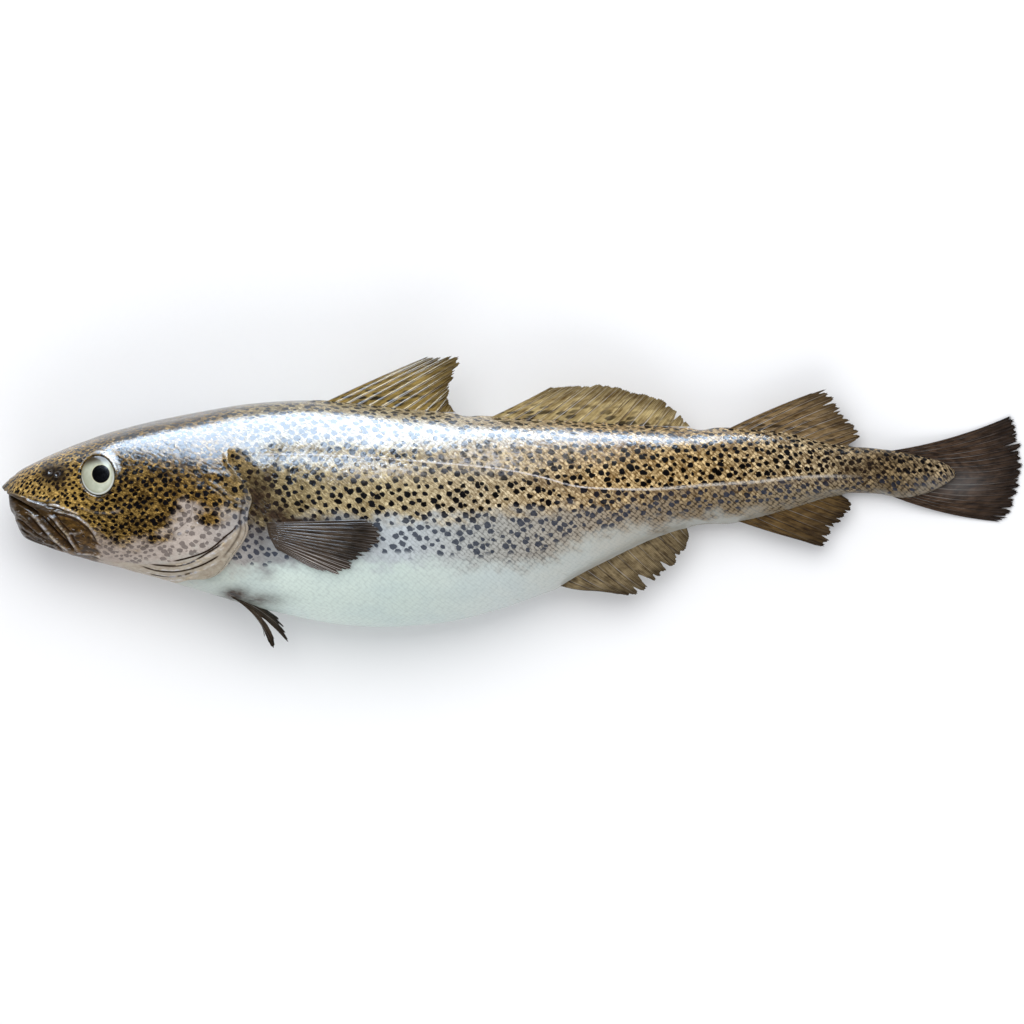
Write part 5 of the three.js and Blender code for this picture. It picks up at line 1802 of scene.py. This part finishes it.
def fin_material(name, pieces, light, dark, ray, glint, spots, sheath_highlight, pale_web=PALE_WEB):
    material, tree, shader = new_material(name)
    place, phase, along, _ = carried(tree, "fin_place")
    _, depth, pale, _ = carried(tree, "fin_depth")
    rays = use_group(tree, rays_group, Vector=place)
    in_mm = add(tree, "CombineXYZ", {"X": times(tree, phase, RAY_PITCH), "Y": depth}).outputs[0]
    cloud = flecks(tree, in_mm, 8.0)
    grain = vector_calc(tree, "MULTIPLY", in_mm, GRAIN_STRETCH)
    fibres = flecks(tree, grain, 1.3)
    mixed = times_plus(tree, fibres, 0.5, times(tree, cloud, 0.5))
    colour = blend(tree, mixed, tone(*dark), tone(*light))
    tipward = fade(tree, along, 0.55, 1.0, 0.0, 0.6)
    colour = blend(tree, tipward, colour, tone(*[c * TIP_SHADE for c in dark]))
    between_rays = {"X": calc(tree, "ADD", phase, 0.5), "Y": calc(tree, "DIVIDE", depth, SPOT_ROW)}
    blot_map = add(tree, "CombineXYZ", between_rays).outputs[0]
    blots = use_group(
        tree, spots_group, Vector=blot_map, Size=0.36, Softness=0.1, Wobble=0.5, Missing=0.3,
    )["Mask"]
    blots = times(tree, blots, fade(tree, along, 0.85, 0.2, 0.0, spots))
    colour = blend(tree, blots, colour, tone(22, 14, 8))
    threads = times(tree, rays["Thread"], fade(tree, along, 0.35, 0.9, 0.15, 0.65))
    colour = blend(tree, threads, colour, tone(*[c * THREAD_SHADE for c in dark]))
    uneven_rays = fade(tree, noise(tree, grain, 0.3, 2.0), 0.35, 0.6, 0.3, 0.9)
    colour = blend(tree, times(tree, rays["Ray"], uneven_rays), colour, tone(*ray))
    lit = times(tree, rays["Glint"], fade(tree, along, 0.95, 0.3, 0.15 * glint, glint))
    lit = times(tree, lit, fade(tree, noise(tree, grain, 0.4, 2.0), 0.34, 0.58, 0.05, 1.0))
    colour = blend(tree, lit, colour, tone(212, 208, 204))
    pale_colour = blend(tree, rays["Ray"], tone(*pale_web[0]), tone(*pale_web[1]))
    colour = blend(tree, times(tree, pale, 0.85), colour, pale_colour)
    # A pale sheath at the root of the back's fins, with a painted highlight on it.
    sheath_and_highlight = times(tree, fade(tree, depth, 2.6, 1.2), sheath_highlight)
    broken = fade(tree, noise(tree, in_mm, 0.5, 2.0), 0.35, 0.55, 0.35, 1.0)
    sheath_and_highlight = times(tree, sheath_and_highlight, broken)
    colour = blend(tree, sheath_and_highlight, colour, tone(206, 208, 214))
    bumps = times_plus(tree, fibres, 0.5, times(tree, rays["Ray"], 0.5))
    set_inputs(tree, shader, {
        "Base Color": colour,
        "Roughness": fade(tree, cloud, 0.0, 1.0, 0.38, 0.52),
        "Normal": bumped(tree, bumps, 0.7, FIN_RELIEF),
        "Specular IOR Level": 0.06,
        "Coat Weight": 0.35,
        "Coat Roughness": 0.18,
    })
    for piece in pieces:
        fins[piece].data.materials.append(material)
    return material


for name, finish in FIN_FINISHES.items():
    made = fin_material(name, **finish)
    print(name, "on", finish["pieces"], "with", len(made.node_tree.nodes), "nodes")

# %% [markdown]
# ## The eye's and barbel's finish
#
# A fresh cod's iris is a pale greenish cream with faint rays, and has a thin bright ring round the pupil.
# Painted shade darkens its left side and its rim, and a dark edge is painted as shade where it sinks into
# its pit. A painted shadow of the brow falls over its top, which is also a little browner there, and the
# lower left of the rim is pale, the clear skin's edge with a painted highlight on it. Distances from the
# pupil's middle give all of it. The clear coat is smoother here than anywhere else on the fish.

# %% Eye and barbel materials
PUPIL = {"a": 2.4, "b": 0.6, "radius": 5.5, "ring": 0.35}  # its middle, radius and ring in mm


def eye_material():
    material, tree, shader = new_material("wet eye")
    place, a, b, share = carried(tree, "eye_place")
    away = vector_calc(tree, "SUBTRACT", place, (PUPIL["a"], PUPIL["b"], 0))
    flat = vector_calc(tree, "MULTIPLY", away, (1, 1, 0))
    distance = add(tree, "VectorMath", {0: flat}, operation="LENGTH").outputs["Value"]
    cloud = flecks(tree, place, 5.0, edge=0.25)
    iris = blend(tree, cloud, tone(172, 178, 158), tone(196, 200, 182))
    # Painted shade on the iris's left side, and towards its rim.
    left = times(tree, fade(tree, a, 1.0, -9.0), 0.5)
    iris = blend(tree, left, iris, tone(140, 142, 120))
    iris = blend(tree, fade(tree, share, 0.7, 0.97, 0.0, 0.6), iris, tone(132, 126, 100))
    # A pale rim on the lower left: the clear skin's edge, with a painted highlight on it.
    pale_rim_highlight = times(tree, fade(tree, share, 0.86, 0.91), fade(tree, share, 0.965, 0.93))
    pale_rim_highlight = times(tree, pale_rim_highlight, fade(tree, b, 4.0, -3.0, 0.0, 0.7))
    iris = blend(tree, pale_rim_highlight, iris, tone(206, 212, 212))
    # Painted shadow of the brow over the top of the iris, which is also a little browner there.
    brow_shadow = times(tree, fade(tree, b, 5.0, 10.5), 0.92)
    iris = blend(tree, brow_shadow, iris, tone(50, 34, 16))
    # A dark edge painted as shade where the eye sinks into its pit.
    iris = blend(tree, fade(tree, share, 0.955, 0.99), iris, tone(40, 30, 22))
    ring_edge = PUPIL["radius"] + PUPIL["ring"]
    ring = fade(tree, distance, ring_edge + 0.25, ring_edge)
    iris = blend(tree, times(tree, ring, 0.6), iris, tone(206, 202, 168))
    pupil = fade(tree, distance, PUPIL["radius"] + 0.2, PUPIL["radius"] - 0.15)
    set_inputs(tree, shader, {
        "Base Color": blend(tree, pupil, iris, tone(5, 5, 6)),
        "Roughness": fade(tree, cloud, 0.0, 1.0, 0.2, 0.3),
        "Specular IOR Level": 0.1,
        "Coat Weight": 0.15,
        "Coat Roughness": 0.05,
    })
    return material


def barbel_material():
    material, tree, shader = new_material("barbel skin")
    place = carried(tree, "place")[0]
    streak = flecks(tree, place, 1.4)
    set_inputs(tree, shader, {
        "Base Color": blend(tree, streak, tone(120, 100, 78), tone(168, 152, 128)),
        "Roughness": fade(tree, streak, 0.0, 1.0, 0.35, 0.5),
        "Coat Weight": 0.6,
    })
    return material


wet_eye = eye_material()
for piece in eyes:
    piece.data.materials.append(wet_eye)
barbel.data.materials.append(barbel_material())

# %% [markdown]
# ## Table and light
#
# Wet skin is drawn by what it mirrors. A tall softbox that stands on the table on the back's side draws
# the bluish white band along the upper flank, as in a studio picture of a fish, and it steps down
# towards the tail, so that the band narrows there. It only shows in gloss, so that its brightness
# doesn't wash out the floor. The soft light that gives the colours comes from a wide panel above and
# from the pale surroundings, and leaves no mirror image of its own.

# %% Floor
FLOOR_HALF = 8.0
floor_mesh = bpy.data.meshes.new("floor")
corner = [(-1, -1), (1, -1), (1, 1), (-1, 1)]
floor_mesh.from_pydata([(x * FLOOR_HALF, y * FLOOR_HALF, 0) for x, y in corner], [], [(0, 1, 2, 3)])
floor = bpy.data.objects.new("floor", floor_mesh)
bpy.context.collection.objects.link(floor)
floor_material, floor_tree, floor_shader = new_material("pale floor")
set_inputs(floor_tree, floor_shader, {
    "Base Color": (0.86, 0.86, 0.86, 1),
    "Roughness": 0.9,
    "Specular IOR Level": 0.1,
})
floor_mesh.materials.append(floor_material)


# %% Lights
def panel(name, place, target, size, power, colour=(1, 1, 1), gloss=True, matt=True):
    """A rectangular light at a place, facing a target."""
    data = bpy.data.lights.new(name, "AREA")
    data.shape = "RECTANGLE"
    data.size, data.size_y = size
    data.energy = power
    data.color = colour
    lamp = bpy.data.objects.new(name, data)
    way = np.array(place, float) - np.array(target, float)
    way /= np.linalg.norm(way)
    lamp.location = place
    lamp.rotation_euler = (math.acos(way[2]), 0, math.atan2(way[0], -way[1]))
    lamp.visible_glossy = gloss
    lamp.visible_diffuse = matt
    bpy.context.collection.objects.link(lamp)
    return lamp


WALL_Y = 0.34  # just outside the picture on the back's side
WALL_GLOW = 29.0  # brightness of the wall's surface
WALL_COLOUR = (0.66, 0.81, 1.0)
WALL_PARTS = [  # name, first and last x, and height
    ("wall_head", -0.42, -0.09, 1.15),
    ("wall_middle", -0.09, 0.05, 0.45),
    ("wall_tail", 0.05, 0.22, 0.15),
]


def wall_part(name, start, end, tall):
    """An upright panel from x start to end, standing on the table, seen only in gloss."""
    middle = (start + end) / 2
    power = math.pi * (end - start) * tall * WALL_GLOW
    place, target = (middle, WALL_Y, tall / 2), (middle, 0, tall / 2)
    lamp = panel(name, place, target, (end - start, tall), power, WALL_COLOUR, matt=False)
    lamp.visible_camera = False


def raised(side, elevation, distance, x):
    """A place on the back's side (+1) or belly's side (-1) of the fish."""
    angle = math.radians(elevation)
    return (x, side * distance * math.cos(angle), distance * math.sin(angle))


world = bpy.data.worlds.new("studio")
world.use_nodes = True
room = {"Color": (0.93, 0.95, 1.0, 1), "Strength": 0.62}
set_inputs(world.node_tree, world.node_tree.nodes["Background"], room)
world.cycles_visibility.glossy = False  # the pale room gives light but no veil over the wet skin
bpy.context.scene.world = world
bpy.context.scene.view_settings.view_transform = "Standard"
panel("overhead", raised(1, 62, 2.2, -0.1), (0, 0, 0), (2.4, 1.8), 34, gloss=False)
panel("belly_fill", raised(-1, 40, 1.8, 0.0), (0, 0, 0), (1.8, 0.9), 9, gloss=False)
for part in WALL_PARTS:
    wall_part(*part)
